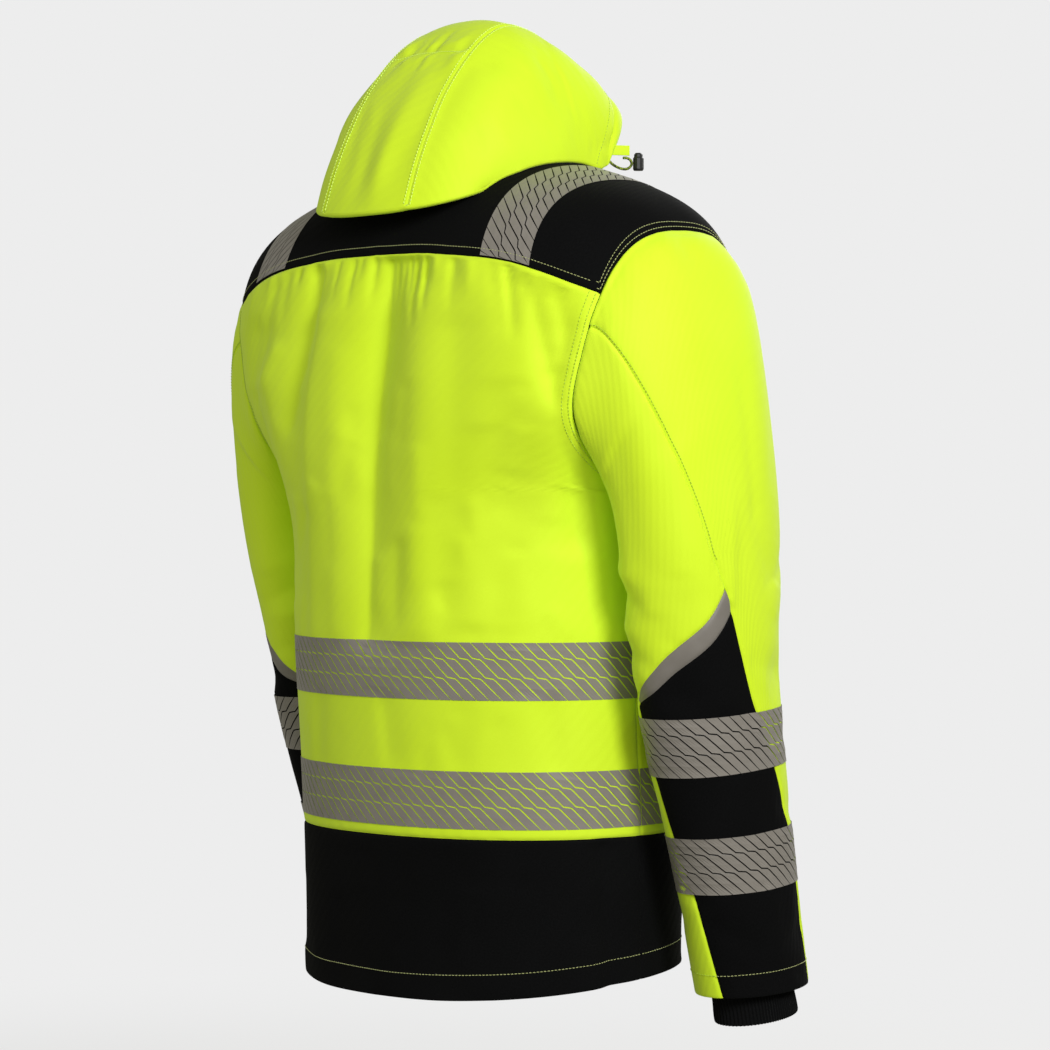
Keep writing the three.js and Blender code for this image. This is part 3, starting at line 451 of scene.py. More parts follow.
def sleeve(th, q, side=-1):
    """A point of the sleeve with its creases: right for side -1, and for side 1 the left one, before it is mirrored."""
    th, q = np.broadcast_arrays(np.asarray(th, float), np.asarray(q, float))
    p = sleeve0(th, q)
    a, b = sleeve0(th + 0.01, q) - sleeve0(th - 0.01, q), sleeve0(th, np.minimum(q + 0.01, 5.2)) - sleeve0(th, np.maximum(q - 0.01, 0))
    n = unit(np.cross(b, a))
    out = np.stack([-np.sin(th), np.cos(th), 0 * th], -1)
    n = n * np.sign(np.sum(n * out, -1, keepdims=True))
    tape = 1 - 0.4 * (smooth((q - run_of(S_TAPE1) + 0.1) / 0.15) * smooth((run_of(S_TAPE1) + 0.6 - q) / 0.15) + smooth((q - run_of(S_TAPE2) + 0.1) / 0.15) * smooth((run_of(S_TAPE2) + 0.6 - q) / 0.15))
    return p + n * (sleeve_relief(th, q, side) * tape)[..., None]


UPPER = [0, 0.14, 0.3, 0.46, 0.64, 0.82, 1]


def row_q(c, i):
    up, low = INSERT["up"](c), INSERT["low"](c)
    return np.where(i <= 6, up * np.interp(i, np.arange(7), UPPER), np.where(i <= 7, lerp(up, low, i - 6), lerp(low, HEM_Q, (i - 7) / 5)))


def front_q(i):
    return (row_q(0.0, i) + row_q(1.0, i)) / 2


def back_part(c, i, side=-1):
    q = row_q(c, i)
    return sleeve(lerp(SEAM_E(q), SEAM_G(q), c) * D2R, q, side)


def outer_part(c, i, side=-1):
    q = lerp(row_q(1.0 + 0 * c, i), front_q(i), c)
    return sleeve(lerp(SEAM_G(q), 360 + SEAM_F, c) * D2R, q, side)


def under_part(c, i, side=-1):
    q = lerp(front_q(i), row_q(0.0 * c, i), c)
    return sleeve(lerp(SEAM_F, SEAM_E(q), c) * D2R, q, side)


# ---------------------------------------------------------------- hood
def hood0(beta, v):
    by, bz, my, mz, w, k = [HOOD[n](v) for n in ("by", "bz", "my", "mz", "w", "k")]
    H = np.hypot(my - by, mz - bz)
    s, c = np.sin(beta), np.cos(beta)
    r = polar(s, c, w, H, k)
    return np.stack([-r * s, by + (my - by) * r * c / H, bz + (mz - bz) * r * c / H], -1)


_gv = np.linspace(0, 1, 101)
_gb = bisect(np.zeros(101), np.full(101, math.pi / 2), lambda b: -hood0(b, _gv)[..., 0] < lerp(GUSSET[0], GUSSET[1], _gv))


def gusset_beta(v):
    return np.interp(v, _gv, _gb)


# creases of the hood, x in mm over the head (1.75 mm a degree), y in mm from the face edge to the nape (330 in all)
H1, H2 = 1.75, 330.0
ADJUST = 0.705
HOOD_CREASES = [
    (-22 * H1, ADJUST * H2, 22 * H1, ADJUST * H2, 2.8, 2.8, -2.2, 1, 1, 1.4),
    (-14 * H1, 0.79 * H2, -10 * H1, 0.99 * H2, 26, 20, -3.2, 0.5, 1, 2.0), (12 * H1, 0.76 * H2, 15 * H1, 0.99 * H2, 18, 14, 2.4, 0.6, 1, 2.0),
    (38 * H1, 0.62 * H2, 34 * H1, 0.98 * H2, 16, 26, -2.0, 0.5, 1, 2.0), (56 * H1, 0.42 * H2, 74 * H1, 0.80 * H2, 24, 26, -2.2, 0.7, 0.6, 2.0),
    (44 * H1, 0.14 * H2, 70 * H1, 0.34 * H2, 20, 24, 1.6, 0.6, 0.6, 2.0), (78 * H1, 0.06 * H2, 84 * H1, 0.30 * H2, 9, 12, -1.8, 1, 0.6, 1.8),
    (-38 * H1, 0.60 * H2, -34 * H1, 0.98 * H2, 22, 16, -2.2, 0.5, 1, 2.0), (-58 * H1, 0.40 * H2, -72 * H1, 0.82 * H2, 24, 26, -2.6, 0.7, 0.6, 2.0),
    (-46 * H1, 0.12 * H2, -68 * H1, 0.36 * H2, 20, 24, 1.6, 0.6, 0.6, 2.0), (-79 * H1, 0.05 * H2, -84 * H1, 0.30 * H2, 12, 9, -1.8, 1, 0.6, 1.8),
    (64 * H1, 0.86 * H2, 80 * H1, 0.93 * H2, 9, 9, -1.6, 0.7, 1, 1.8), (-62 * H1, 0.84 * H2, -80 * H1, 0.92 * H2, 9, 9, -1.6, 0.7, 1, 1.8),
]
HOOD_CREASES += slack(26, -84 * H1, 84 * H1, 60, 300, 0.3, 1.4)
for d in np.arange(-21, 22, 3.9):
    e, L, w = d + rng.uniform(-1, 1), rng.uniform(12, 34), rng.uniform(3.0, 5.0)
    k = rng.uniform(1.6, 3.6) * (1 if rng.random() < 0.45 else -1)
    HOOD_CREASES.append((e * H1, ADJUST * H2 - 2, (e * 1.1) * H1, ADJUST * H2 - L, w, w, k, 1, 0.3, 1.7))
    HOOD_CREASES.append(((e + 1) * H1, ADJUST * H2 + 2, (e + 1) * 1.15 * H1, ADJUST * H2 + rng.uniform(10, 26), w, w, -0.55 * k, 1, 0.2, 1.8))


def hood(beta, v):
    beta, v = np.broadcast_arrays(np.asarray(beta, float), np.asarray(v, float))
    p = hood0(beta, v)
    a, b = hood0(beta + 0.01, v) - hood0(beta - 0.01, v), hood0(beta, np.minimum(v + 0.004, 1)) - hood0(beta, np.maximum(v - 0.004, 0))
    n = unit(np.cross(a, b))
    n = n * np.sign(np.sum(n * (p - np.array([0, 10, 10.0])), -1, keepdims=True))
    g = gusset_beta(v) / D2R * H1
    x = beta / D2R * H1
    near = 1 - 0.8 * np.exp(-(((np.abs(x) - g) / 5) ** 2))
    h = creases(x, v * H2, HOOD_CREASES) * near
    h = h + 0.9 * np.exp(-(((np.abs(x) - g) / 7) ** 2))
    h = h - 1.2 * np.exp(-(((v * H2 - 24) / 2.6) ** 2)) * smooth((84 - np.abs(beta) / D2R) / 6) + 1.0 * np.exp(-(((v * H2 - 12) / 9) ** 2))
    return p + n * h[..., None]


# ---------------------------------------------------------------- mesh making
def new_object(name, verts, faces, uvs=None, smooth_shade=True):
    me = bpy.data.meshes.new(name)
    verts = np.asarray(verts, float) * MM
    sizes = {len(f) for f in faces[:1]} if isinstance(faces, list) else None
    if isinstance(faces, np.ndarray):
        n, k = faces.shape
        me.vertices.add(len(verts))
        me.vertices.foreach_set("co", verts.astype(np.float32).ravel())
        me.loops.add(n * k)
        me.loops.foreach_set("vertex_index", faces.astype(np.int32).ravel())
        me.polygons.add(n)
        me.polygons.foreach_set("loop_start", np.arange(0, n * k, k, dtype=np.int32))
        me.polygons.foreach_set("loop_total", np.full(n, k, np.int32))
        flat = faces.ravel()
    else:
        me.from_pydata(verts.tolist(), [], faces)
        flat = np.array([i for f in faces for i in f])
    me.update(calc_edges=True)
    if uvs is not None:
        layer = me.uv_layers.new(name="UVMap")
        layer.data.foreach_set("uv", (np.asarray(uvs, float) * MM)[flat].astype(np.float32).ravel())
    me.polygons.foreach_set("use_smooth", np.full(len(me.polygons), smooth_shade))
    me.validate()
    ob = bpy.data.objects.new(name, me)
    bpy.context.scene.collection.objects.link(ob)
    return ob


class Surf:
    """A grid of points of f(u, v), with outward normals; centre is a point inside, or a function of the points."""

    def __init__(self, f, us, vs, centre, closed=False):
        self.us, self.vs, self.closed = np.asarray(us, float), np.asarray(vs, float), closed
        U, V = np.meshgrid(self.us, self.vs, indexing="ij")
        P = f(U, V)
        self.P = P
        if closed:
            Q = np.concatenate([P[-2:-1], P, P[1:2]], 0)
            T1 = (Q[2:] - Q[:-2])
        else:
            T1 = np.gradient(P, axis=0)
        T2 = np.gradient(P, axis=1)
        N = unit(np.cross(T1, T2))
        C = centre(P) if callable(centre) else np.asarray(centre, float)
        if np.mean(np.sum(N * (P - C), -1)) < 0:
            N = -N
        self.N = N
        step = lambda a, ax: np.concatenate([np.zeros_like(np.take(a, [0], ax)[..., 0]), np.cumsum(np.linalg.norm(np.diff(a, axis=ax), axis=-1), axis=ax)], ax)
        self.A, self.B = step(P, 0), step(P, 1)

    def at(self, u, v):
        i = np.interp(u, self.us, np.arange(len(self.us)))
        j = np.interp(v, self.vs, np.arange(len(self.vs)))
        return self.cell(i, j)

    def cell(self, i, j):
        i0 = np.clip(np.floor(i).astype(int), 0, len(self.us) - 2)
        j0 = np.clip(np.floor(j).astype(int), 0, len(self.vs) - 2)
        a, b = (i - i0)[..., None], (j - j0)[..., None]
        g = lambda G: (G[i0, j0] * (1 - a) + G[i0 + 1, j0] * a) * (1 - b) + (G[i0, j0 + 1] * (1 - a) + G[i0 + 1, j0 + 1] * a) * b
        return g(self.P), unit(g(self.N))


def stations(a, b, length, step, fine0=True, fine1=True):
    """Values from a to b, about step mm apart over length mm, closer at the ends where an edge is rolled."""
    n = max(4, int(round(length / step)))
    t = list(np.linspace(0, 1, n + 1))
    extra = [d / length for d in (0.5, 1.3, 2.6)]
    t = [x for x in t if (x > extra[-1] * 1.5 or not fine0 or x == 0) and (x < 1 - extra[-1] * 1.5 or not fine1 or x == 1)]
    t += extra if fine0 else []
    t += [1 - x for x in extra] if fine1 else []
    return lerp(a, b, np.array(sorted(t)))


PANELS = {}
SHEETS = []


def shell(name, surf, look, nodes, seams="ttff", thick=CLOTH, mirror=False, dip=1.1, pucker=0.25, gap=0.12, ring=None):
    """A closed thin cloth shell on surf. seams gives for the edges u0 u1 v0 v1: s sewn, with its edge turned down, f free, with a round edge, n plain."""
    P, N = surf.P.copy(), surf.N
    nu, nv = P.shape[:2]
    A, B = surf.A, surf.B
    dist = [A, A[-1:] - A, B, B[:, -1:] - B]
    off = np.zeros((nu, nv))
    for k, kind in enumerate(seams):
        d = dist[k]
        if kind == "s":
            off -= dip * np.exp(-((d / 1.5) ** 2)) + 0.25 * np.exp(-((d / 4.5) ** 2))
            if pucker:
                along = B if k < 2 else A
                wave = np.sin(along / 3.1 + 2.2 * np.sin(along / 23 + k)) + 0.6 * np.sin(along / 5.3 + 3 * np.sin(along / 37 + 2 * k) + 1)
                off += pucker * wave * np.exp(-d / 7) * smooth(d / 2)
        elif kind == "f":
            off -= 0.35 * np.exp(-((d / 0.9) ** 2))
    out = P + N * off[..., None]
    inn = P + N * (np.minimum(off * 0.3, 0) - thick)[..., None]
    # the two faces and the round edges between them
    if surf.closed:
        out, inn = out[:-1], inn[:-1]
    cu = out.shape[0]
    verts = [out.reshape(-1, 3), inn.reshape(-1, 3)]
    uv = [np.stack([A - A[nu // 2], B], -1)[:cu].reshape(-1, 2)] * 2
    idx = np.arange(cu * nv).reshape(cu, nv)
    nxt = lambda a: np.roll(a, -1, 0) if surf.closed else a[1:]
    cur = lambda a: a if surf.closed else a[:-1]
    q = lambda a, b, c, d: np.stack([x.ravel() for x in (a, b, c, d)], -1)
    i0, i1 = cur(idx), nxt(idx)
    faces = [q(i0[:, :-1], i1[:, :-1], i1[:, 1:], i0[:, 1:]), q(i0[:, :-1], i0[:, 1:], i1[:, 1:], i1[:, :-1]) + cu * nv]
    base = 2 * cu * nv

    def edge(o, i, outward, loop, rev):
        nonlocal base
        mid = (verts[0][o] + verts[1][i]) / 2 + outward * thick * 0.22
        verts.append(mid)
        uv.append(uv[0][o])
        m = base + np.arange(len(o))
        base += len(o)
        i = i + cu * nv
        sl = (lambda a: (a, np.roll(a, -1))) if loop else (lambda a: (a[:-1], a[1:]))
        (o0, o1), (m0, m1), (n0, n1) = sl(o), sl(m), sl(i)
        f = [np.stack([o0, m0, m1, o1], -1), np.stack([m0, n0, n1, m1], -1)]
        faces.extend([x[:, ::-1] for x in f] if rev else f)

    closed = surf.closed
    o2 = out.reshape(-1, 3)
    edge(idx[:, 0], idx[:, 0], unit(o2[idx[:, 0]] - o2[idx[:, 1]]), closed, False)
    edge(idx[:, -1], idx[:, -1], unit(o2[idx[:, -1]] - o2[idx[:, -2]]), closed, True)
    if not closed:
        edge(idx[0], idx[0], unit(o2[idx[0]] - o2[idx[1]]), False, True)
        edge(idx[-1], idx[-1], unit(o2[idx[-1]] - o2[idx[-2]]), False, False)
        # the corner between two middle rows
        nb = 2 * cu * nv
        m_v0, m_v1, m_u0, m_u1 = nb, nb + cu, nb + 2 * cu, nb + 2 * cu + nv
        corners = [(idx[0, 0], m_v0, m_u0), (idx[0, -1], m_v1, m_u0 + nv - 1), (idx[-1, 0], m_v0 + cu - 1, m_u1), (idx[-1, -1], m_v1 + cu - 1, m_u1 + nv - 1)]
        tri = [(a, b, c, c) for a, b, c in corners] + [(a + cu * nv, b, c, c) for a, b, c in corners]
    V = np.concatenate(verts)
    F = np.concatenate(faces)
    if np.sum(np.cross(V[F[0, 1]] - V[F[0, 0]], V[F[0, 2]] - V[F[0, 0]]) * surf.N[0, 0]) < 0:
        F = F[:, ::-1]
    if mirror:
        V = V * np.array([-1, 1, 1])
        F = F[:, ::-1]
    ob = new_object(name, V, np.ascontiguousarray(F), np.concatenate(uv))
    if not closed:
        # weld the middle rows where they meet at a corner, so the shell stays closed
        import bmesh
        bm = bmesh.new()
        bm.from_mesh(ob.data)
        bm.verts.ensure_lookup_table()
        pairs = {}
        for a, b, c in corners:
            p = (bm.verts[b].co + bm.verts[c].co) / 2
            bm.verts[b].co = p
            pairs[bm.verts[c]] = bm.verts[b]
        bmesh.ops.weld_verts(bm, targetmap=pairs)
        bmesh.ops.recalc_face_normals(bm, faces=bm.faces)
        bm.to_mesh(ob.data)
        bm.free()
        ob.data.polygons.foreach_set("use_smooth", np.ones(len(ob.data.polygons), bool))
    ob.data.materials.append(look)
    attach(ob, "root")
    if nodes:
        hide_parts(*nodes)
    mid = surf.P - surf.N * thick / 2
    a, b = mid[1:, 1:] - mid[:-1, :-1], mid[1:, :-1] - mid[:-1, 1:]
    area = float(np.sum(np.linalg.norm(np.cross(a, b), axis=-1)) / 2) * 1e-6
    w, l = round(float(surf.A[-1].max()) * MM, 3), round(float(surf.B[:, -1].max()) * MM, 3)
    area = min(area, 0.999 * w * l)
    PANELS[name] = (surf, mirror)
    return ob


# ---------------------------------------------------------------- materials
def nodes_of(name):
    m = bpy.data.materials.new(name)
    m.use_nodes = True
    t = m.node_tree
    t.nodes.clear()
    out = t.nodes.new("ShaderNodeOutputMaterial")
    b = t.nodes.new("ShaderNodeBsdfPrincipled")
    t.links.new(b.outputs[0], out.inputs[0])
    return m, t, b


def node(t, kind, **inputs):
    n = t.nodes.new(kind)
    for k, v in inputs.items():
        if k.startswith("_"):
            setattr(n, k[1:], v)
        else:
            n.inputs[int(k[1:]) if k[0] == "i" and k[1:].isdigit() else k.replace("_", " ")].default_value = v
    return n


def cloth(name, dark, light, rough=0.85, sheen=0.0, sheen_tint=(1, 1, 1, 1), spec=0.2, glow=0.0, weave=1.0, pitch=1.0, tone=0.5, grain=0.5):
    """Twill: diagonal ribs pitch mm apart over UV in metres, a fine grain, and a slow change of tone."""
    m, t, b = nodes_of(name)
    L = t.links.new
    uv = t.nodes.new("ShaderNodeTexCoord")
    mp = node(t, "ShaderNodeMapping")
    mp.inputs["Scale"].default_value = (1, 1, 1)
    L(uv.outputs["UV"], mp.inputs["Vector"])
    slow = node(t, "ShaderNodeTexNoise", Scale=9.0, Detail=3.0, Roughness=0.5)
    L(uv.outputs["Object"], slow.inputs["Vector"])
    fine = node(t, "ShaderNodeTexNoise", Scale=620.0, Detail=4.0, Roughness=0.7)
    L(mp.outputs[0], fine.inputs["Vector"])
    wave = node(t, "ShaderNodeTexWave", Scale=1000.0 / pitch / 20.0, Distortion=1.2, Detail=2.0, Detail_Scale=3.0)
    wave.wave_type, wave.bands_direction = "BANDS", "DIAGONAL"
    L(mp.outputs[0], wave.inputs["Vector"])
    r1 = t.nodes.new("ShaderNodeMapRange")
    for k, v in (("From Min", 0.3), ("From Max", 0.7), ("To Min", 0.5 - tone / 2), ("To Max", 0.5 + tone / 2)):
        r1.inputs[k].default_value = v
    L(slow.outputs["Fac"], r1.inputs["Value"])
    mixg = t.nodes.new("ShaderNodeMath")
    mixg.operation = "MULTIPLY_ADD"
    sub = t.nodes.new("ShaderNodeMath")
    sub.operation = "SUBTRACT"
    sub.inputs[1].default_value = 0.5
    L(fine.outputs["Fac"], sub.inputs[0])
    L(sub.outputs[0], mixg.inputs[0])
    mixg.inputs[1].default_value = grain
    L(r1.outputs[0], mixg.inputs[2])
    ramp = t.nodes.new("ShaderNodeMix")
    ramp.data_type = "RGBA"
    ramp.inputs[6].default_value = (*dark, 1)
    ramp.inputs[7].default_value = (*light, 1)
    L(mixg.outputs[0], ramp.inputs[0])
    L(ramp.outputs[2], b.inputs["Base Color"])
    b1 = node(t, "ShaderNodeBump", Strength=0.35 * weave, Distance=0.0004)
    L(wave.outputs["Fac"], b1.inputs["Height"])
    b2 = node(t, "ShaderNodeBump", Strength=0.30 * weave, Distance=0.0005)
    L(fine.outputs["Fac"], b2.inputs["Height"])
    L(b1.outputs[0], b2.inputs["Normal"])
    L(b2.outputs[0], b.inputs["Normal"])
    b.inputs["Roughness"].default_value = rough
    b.inputs["Specular IOR Level"].default_value = spec
    b.inputs["Sheen Weight"].default_value = sheen
    b.inputs["Sheen Roughness"].default_value = 0.45
    b.inputs["Sheen Tint"].default_value = sheen_tint
    # painted glow: a faint constant emission in the cloth's light yellow, standing in for its fluorescence
    if glow:
        b.inputs["Emission Color"].default_value = (light[0] * 0.8, light[1], 0.0, 1)
        b.inputs["Emission Strength"].default_value = glow
    return m


YELLOW = cloth("yellow_twill", (0.58, 0.79, 0.008), (0.68, 0.89, 0.032), rough=0.7, sheen=0.16, sheen_tint=(0.9, 1.0, 0.75, 1), spec=0.24, glow=0.02, weave=0.7, pitch=1.1, tone=0.35, grain=0.5)
BLACK = cloth("black_twill", (0.0012, 0.0012, 0.0013), (0.0060, 0.0060, 0.0064), rough=0.9, sheen=0.008, spec=0.04, weave=1.0, pitch=1.1, tone=0.2, grain=1.1)
RIB = cloth("rib_knit", (0.0016, 0.0016, 0.0018), (0.007, 0.007, 0.0075), rough=0.95, sheen=0.03, spec=0.05, weave=1.4, pitch=1.6, tone=0.2, grain=1.0)
ZIPCLOTH = cloth("zip_tape", (0.002, 0.002, 0.0022), (0.008, 0.008, 0.009), rough=0.85, spec=0.1, weave=0.8, pitch=0.8, tone=0.2, grain=0.8)


def film(name, dark, light, rough=0.42):
    m, t, b = nodes_of(name)
    L = t.links.new
    uv = t.nodes.new("ShaderNodeTexCoord")
    beads = node(t, "ShaderNodeTexVoronoi", Scale=2600.0)
    L(uv.outputs["Object"], beads.inputs["Vector"])
    slow = node(t, "ShaderNodeTexNoise", Scale=60.0, Detail=4.0, Roughness=0.65)
    L(uv.outputs["Object"], slow.inputs["Vector"])
    mix = t.nodes.new("ShaderNodeMix")
    mix.data_type = "RGBA"
    mix.inputs[6].default_value, mix.inputs[7].default_value = (*dark, 1), (*light, 1)
    L(slow.outputs["Fac"], mix.inputs[0])
    L(mix.outputs[2], b.inputs["Base Color"])
    bump = node(t, "ShaderNodeBump", Strength=0.25, Distance=0.0002)
    L(beads.outputs["Distance"], bump.inputs["Height"])
    L(bump.outputs[0], b.inputs["Normal"])
    b.inputs["Roughness"].default_value = rough
    b.inputs["Specular IOR Level"].default_value = 0.35
    b.inputs["Sheen Weight"].default_value = 0.1
    return m


FILM = film("reflective_film", (0.19, 0.170, 0.150), (0.25, 0.226, 0.203))
INSERTFILM = film("reflective_insert", (0.16, 0.142, 0.124), (0.20, 0.180, 0.160), rough=0.5)


def thread(name, a, b_):
    m, t, b = nodes_of(name)
    uv = t.nodes.new("ShaderNodeTexCoord")
    n = node(t, "ShaderNodeTexNoise", Scale=900.0, Detail=2.0)
    t.links.new(uv.outputs["Object"], n.inputs["Vector"])
    mix = t.nodes.new("ShaderNodeMix")
    mix.data_type = "RGBA"
    mix.inputs[6].default_value, mix.inputs[7].default_value = (*a, 1), (*b_, 1)
    t.links.new(n.outputs["Fac"], mix.inputs[0])
    t.links.new(mix.outputs[2], b.inputs["Base Color"])
    b.inputs["Roughness"].default_value = 0.6
    b.inputs["Sheen Weight"].default_value = 0.2
    return m


T_OLIVE = thread("thread_olive", (0.30, 0.33, 0.10), (0.48, 0.50, 0.22))
T_GREEN = thread("thread_green", (0.40, 0.56, 0.015), (0.52, 0.70, 0.03))
T_PALE = thread("thread_pale", (0.72, 0.95, 0.14), (0.85, 1.0, 0.26))


def plastic(name, rough=0.38, tone=(0.010, 0.010, 0.011)):
    m, t, b = nodes_of(name)
    uv = t.nodes.new("ShaderNodeTexCoord")
    n = node(t, "ShaderNodeTexNoise", Scale=300.0, Detail=4.0)
    t.links.new(uv.outputs["Object"], n.inputs["Vector"])
    r = t.nodes.new("ShaderNodeMapRange")
    r.inputs["To Min"].default_value, r.inputs["To Max"].default_value = rough - 0.08, rough + 0.12
    t.links.new(n.outputs["Fac"], r.inputs["Value"])
    t.links.new(r.outputs[0], b.inputs["Roughness"])
    mix = t.nodes.new("ShaderNodeMix")
    mix.data_type = "RGBA"
    mix.inputs[6].default_value, mix.inputs[7].default_value = (*tone, 1), (*[x * 1.7 for x in tone], 1)
    t.links.new(n.outputs["Fac"], mix.inputs[0])
    t.links.new(mix.outputs[2], b.inputs["Base Color"])
    bump = node(t, "ShaderNodeBump", Strength=0.12, Distance=0.0002)
    t.links.new(n.outputs["Fac"], bump.inputs["Height"])
    t.links.new(bump.outputs[0], b.inputs["Normal"])
    return m


PLASTIC = plastic("black_plastic")


def cord_material():
    m, t, b = nodes_of("elastic_cord")
    uv = t.nodes.new("ShaderNodeTexCoord")
    v = node(t, "ShaderNodeTexVoronoi", Scale=1100.0)
    t.links.new(uv.outputs["Object"], v.inputs["Vector"])
    ramp = t.nodes.new("ShaderNodeValToRGB")
    ramp.color_ramp.elements[0].position, ramp.color_ramp.elements[1].position = 0.38, 0.52
    ramp.color_ramp.elements[0].color = (0.42, 0.55, 0.03, 1)
    ramp.color_ramp.elements[1].color = (0.010, 0.011, 0.006, 1)
    t.links.new(v.outputs["Distance"], ramp.inputs[0])
    t.links.new(ramp.outputs[0], b.inputs["Base Color"])
    bump = node(t, "ShaderNodeBump", Strength=0.6, Distance=0.0004)
    t.links.new(v.outputs["Distance"], bump.inputs["Height"])
    t.links.new(bump.outputs[0], b.inputs["Normal"])
    b.inputs["Roughness"].default_value = 0.75
    return m


CORDMAT = cord_material()

# ---------------------------------------------------------------- hood cords, first
CORD_D = 2.5
CORD_RUN = np.array([[-98.2, -67.6, 0.6], [-99.2, -71, -1.2], [-100.3, -75, -2.6], [-101.5, -79, -3.2], [-102.6, -82.8, -2.6],
                     [-103.4, -85.9, -0.2], [-103.7, -86.8, 2.4], [-103.2, -85.6, 5.2], [-102.2, -82.4, 6.9], [-101, -78.6, 6.9]])


def catmull(pts, n=6):
    q = np.concatenate([[2 * pts[0] - pts[1]], pts, [2 * pts[-1] - pts[-2]]])
    out = []
    for i in range(1, len(q) - 2):
        for t in np.linspace(0, 1, n, endpoint=False):
            a, b, c, d = q[i - 1], q[i], q[i + 1], q[i + 2]
            out.append(0.5 * (2 * b + (c - a) * t + (2 * a - 5 * b + 4 * c - d) * t * t + (-a + 3 * b - 3 * c + d) * t**3))
    out.append(q[-2])
    return np.array(out)


for side, sx in (("right", 1), ("left", -1)):
    pts = catmull(np.concatenate([[[-96.2, -58.5, 6.5], [-97.2, -63.4, 3.6]], CORD_RUN]), 5) * np.array([sx, 1, 1])
    cu = bpy.data.curves.new(f"cord_{side}", "CURVE")
    cu.dimensions = "3D"
    sp = cu.splines.new("POLY")
    sp.points.add(len(pts) - 1)
    for p, c in zip(sp.points, pts):
        p.co = (*(c * MM), 1)
    cu.bevel_depth = CORD_D / 2 * MM
    cu.bevel_resolution = 4
    cu.use_fill_caps = True
    ob = bpy.data.objects.new(f"cord_{side}", cu)
    bpy.context.scene.collection.objects.link(ob)
    ob.data.materials.append(CORDMAT)
    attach(ob, "root")
    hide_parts(f"hood_cord_{side}")

# ---------------------------------------------------------------- body panels
down = lambda P: np.stack([0 * P[..., 0], 0 * P[..., 0] - 12, P[..., 2]], -1)
low = lambda P: np.array([0, -14, -260.0])
back_us = stations(-1, 1, 560, 3.6)
back_vs = np.concatenate([stations(0, 1, 175, 4.2, True, False)[:-1], stations(1, 2, 130, 4.6, False, False)[:-1], stations(2, 9, 171, 5.0, False, True)])
back = Surf(lambda c, w: panel_point(c, w, False), back_us, back_vs, down)
shell("cloth_back_body", back, YELLOW, ["back_body"], "ssss")
front_us = stations(0, 1, 280, 4.0)
front_vs = np.concatenate([stations(0, 1, 175, 4.4, True, False)[:-1], stations(1, 2, 130, 5, False, False)[:-1], stations(2, 9, 171, 5.6, False, True)])
front = Surf(lambda c, w: panel_point(c, w, True), front_us, front_vs, down)


def front_left(c, w):
    P = panel_point(c, w, True)
    return P


def mirror_phi(f):
    """The same panel on the left, with the left side's own creases, given back as if it were on the right."""
    def g(c, w):
        C = CF
        edge = np.interp(w, np.arange(10), [C[1], UNDERARM] + ROWS)
        lim = np.where(w <= 1, np.interp(edge, _am[True], _ap[True]), math.pi / 2)
        m = edge + (seam_m(lerp(C[0], SZ, c)) - C[1]) * smooth(1 - w / 0.6)
        return body(-lerp(lim, zip_phi(m), c), m, True)
    return g


shell("cloth_front_right", front, YELLOW, ["front_right"], "ssss")
front_l = Surf(mirror_phi(None), front_us, front_vs, down)
shell("cloth_front_left", front_l, YELLOW, ["front_left"], "ssss")

low_vs = stations(0, 1, 138, 4.6)
lback = Surf(lambda c, w: lower_point(c, w, False), stations(-1, 1, 560, 4.4), low_vs, down)
shell("cloth_lower_back", lback, BLACK, ["lower_back"], "sssf")
lfront = Surf(lambda c, w: lower_point(c, w, True), stations(0, 1, 280, 4.6), low_vs, down)
shell("cloth_lower_front_right", lfront, BLACK, ["lower_front_right"], "sssf")


def lower_left(c, w):
    at = lambda m: lerp(math.pi / 2, zip_phi(m), c)
    m = lerp(LOWER, HEM(np.abs(at(-700 + 0 * c)) / D2R), w)
    return body(-at(m), m, True)


lfront_l = Surf(lower_left, stations(0, 1, 280, 4.6), low_vs, down)
shell("cloth_lower_front_left", lfront_l, BLACK, ["lower_front_left"], "sssf")

# ---------------------------------------------------------------- yoke and collar
yk = np.concatenate([stations(0, CB[0], 255, 5, False, False)[:-1], stations(CB[0], CF[0], 200, 5, False, False)[:-1], stations(CF[0], SZ, 190, 5, False, True)])
yoke_us = np.concatenate([-yk[::-1][:-1], yk])
yoke = Surf(yoke_point, yoke_us, stations(0, 1, 130, 5), low)
shell("cloth_yoke", yoke, BLACK, ["yoke"], "ssss", pucker=0.12)
collar_zip = math.pi - math.asin(ZIP_HALF / (NECK["bf"] + 1))
collar = Surf(collar_point, stations(-collar_zip, collar_zip, 470, 5), stations(0, 1, 64, 4), lambda P: np.stack([0 * P[..., 0], 0 * P[..., 0] - 14, P[..., 2]], -1))
shell("cloth_collar", collar, BLACK, ["collar"], "sssf", pucker=0.1)

# ---------------------------------------------------------------- hood
hc = lambda P: np.array([0, 20.0, 0])
hood_c = Surf(lambda u, v: hood(u * gusset_beta(v), v), stations(-1, 1, 100, 3.4), stations(0, 1, 330, 3.6), hc)
shell("cloth_hood_centre", hood_c, YELLOW, ["hood_centre"], "ssfn", dip=0.9, pucker=0.12)
for side, sg in (("right", 1), ("left", -1)):
    hs = Surf(lambda u, v, sg=sg: hood(sg * lerp(gusset_beta(v), math.pi / 2, u), v), stations(0, 1, 150, 4), stations(0, 1, 330, 4), hc)
    shell(f"cloth_hood_side_{side}", hs, YELLOW, [f"hood_side_{side}"], "snfn", dip=0.9, pucker=0.12)
    PANELS[f"hood_{side}"] = (hs, False)

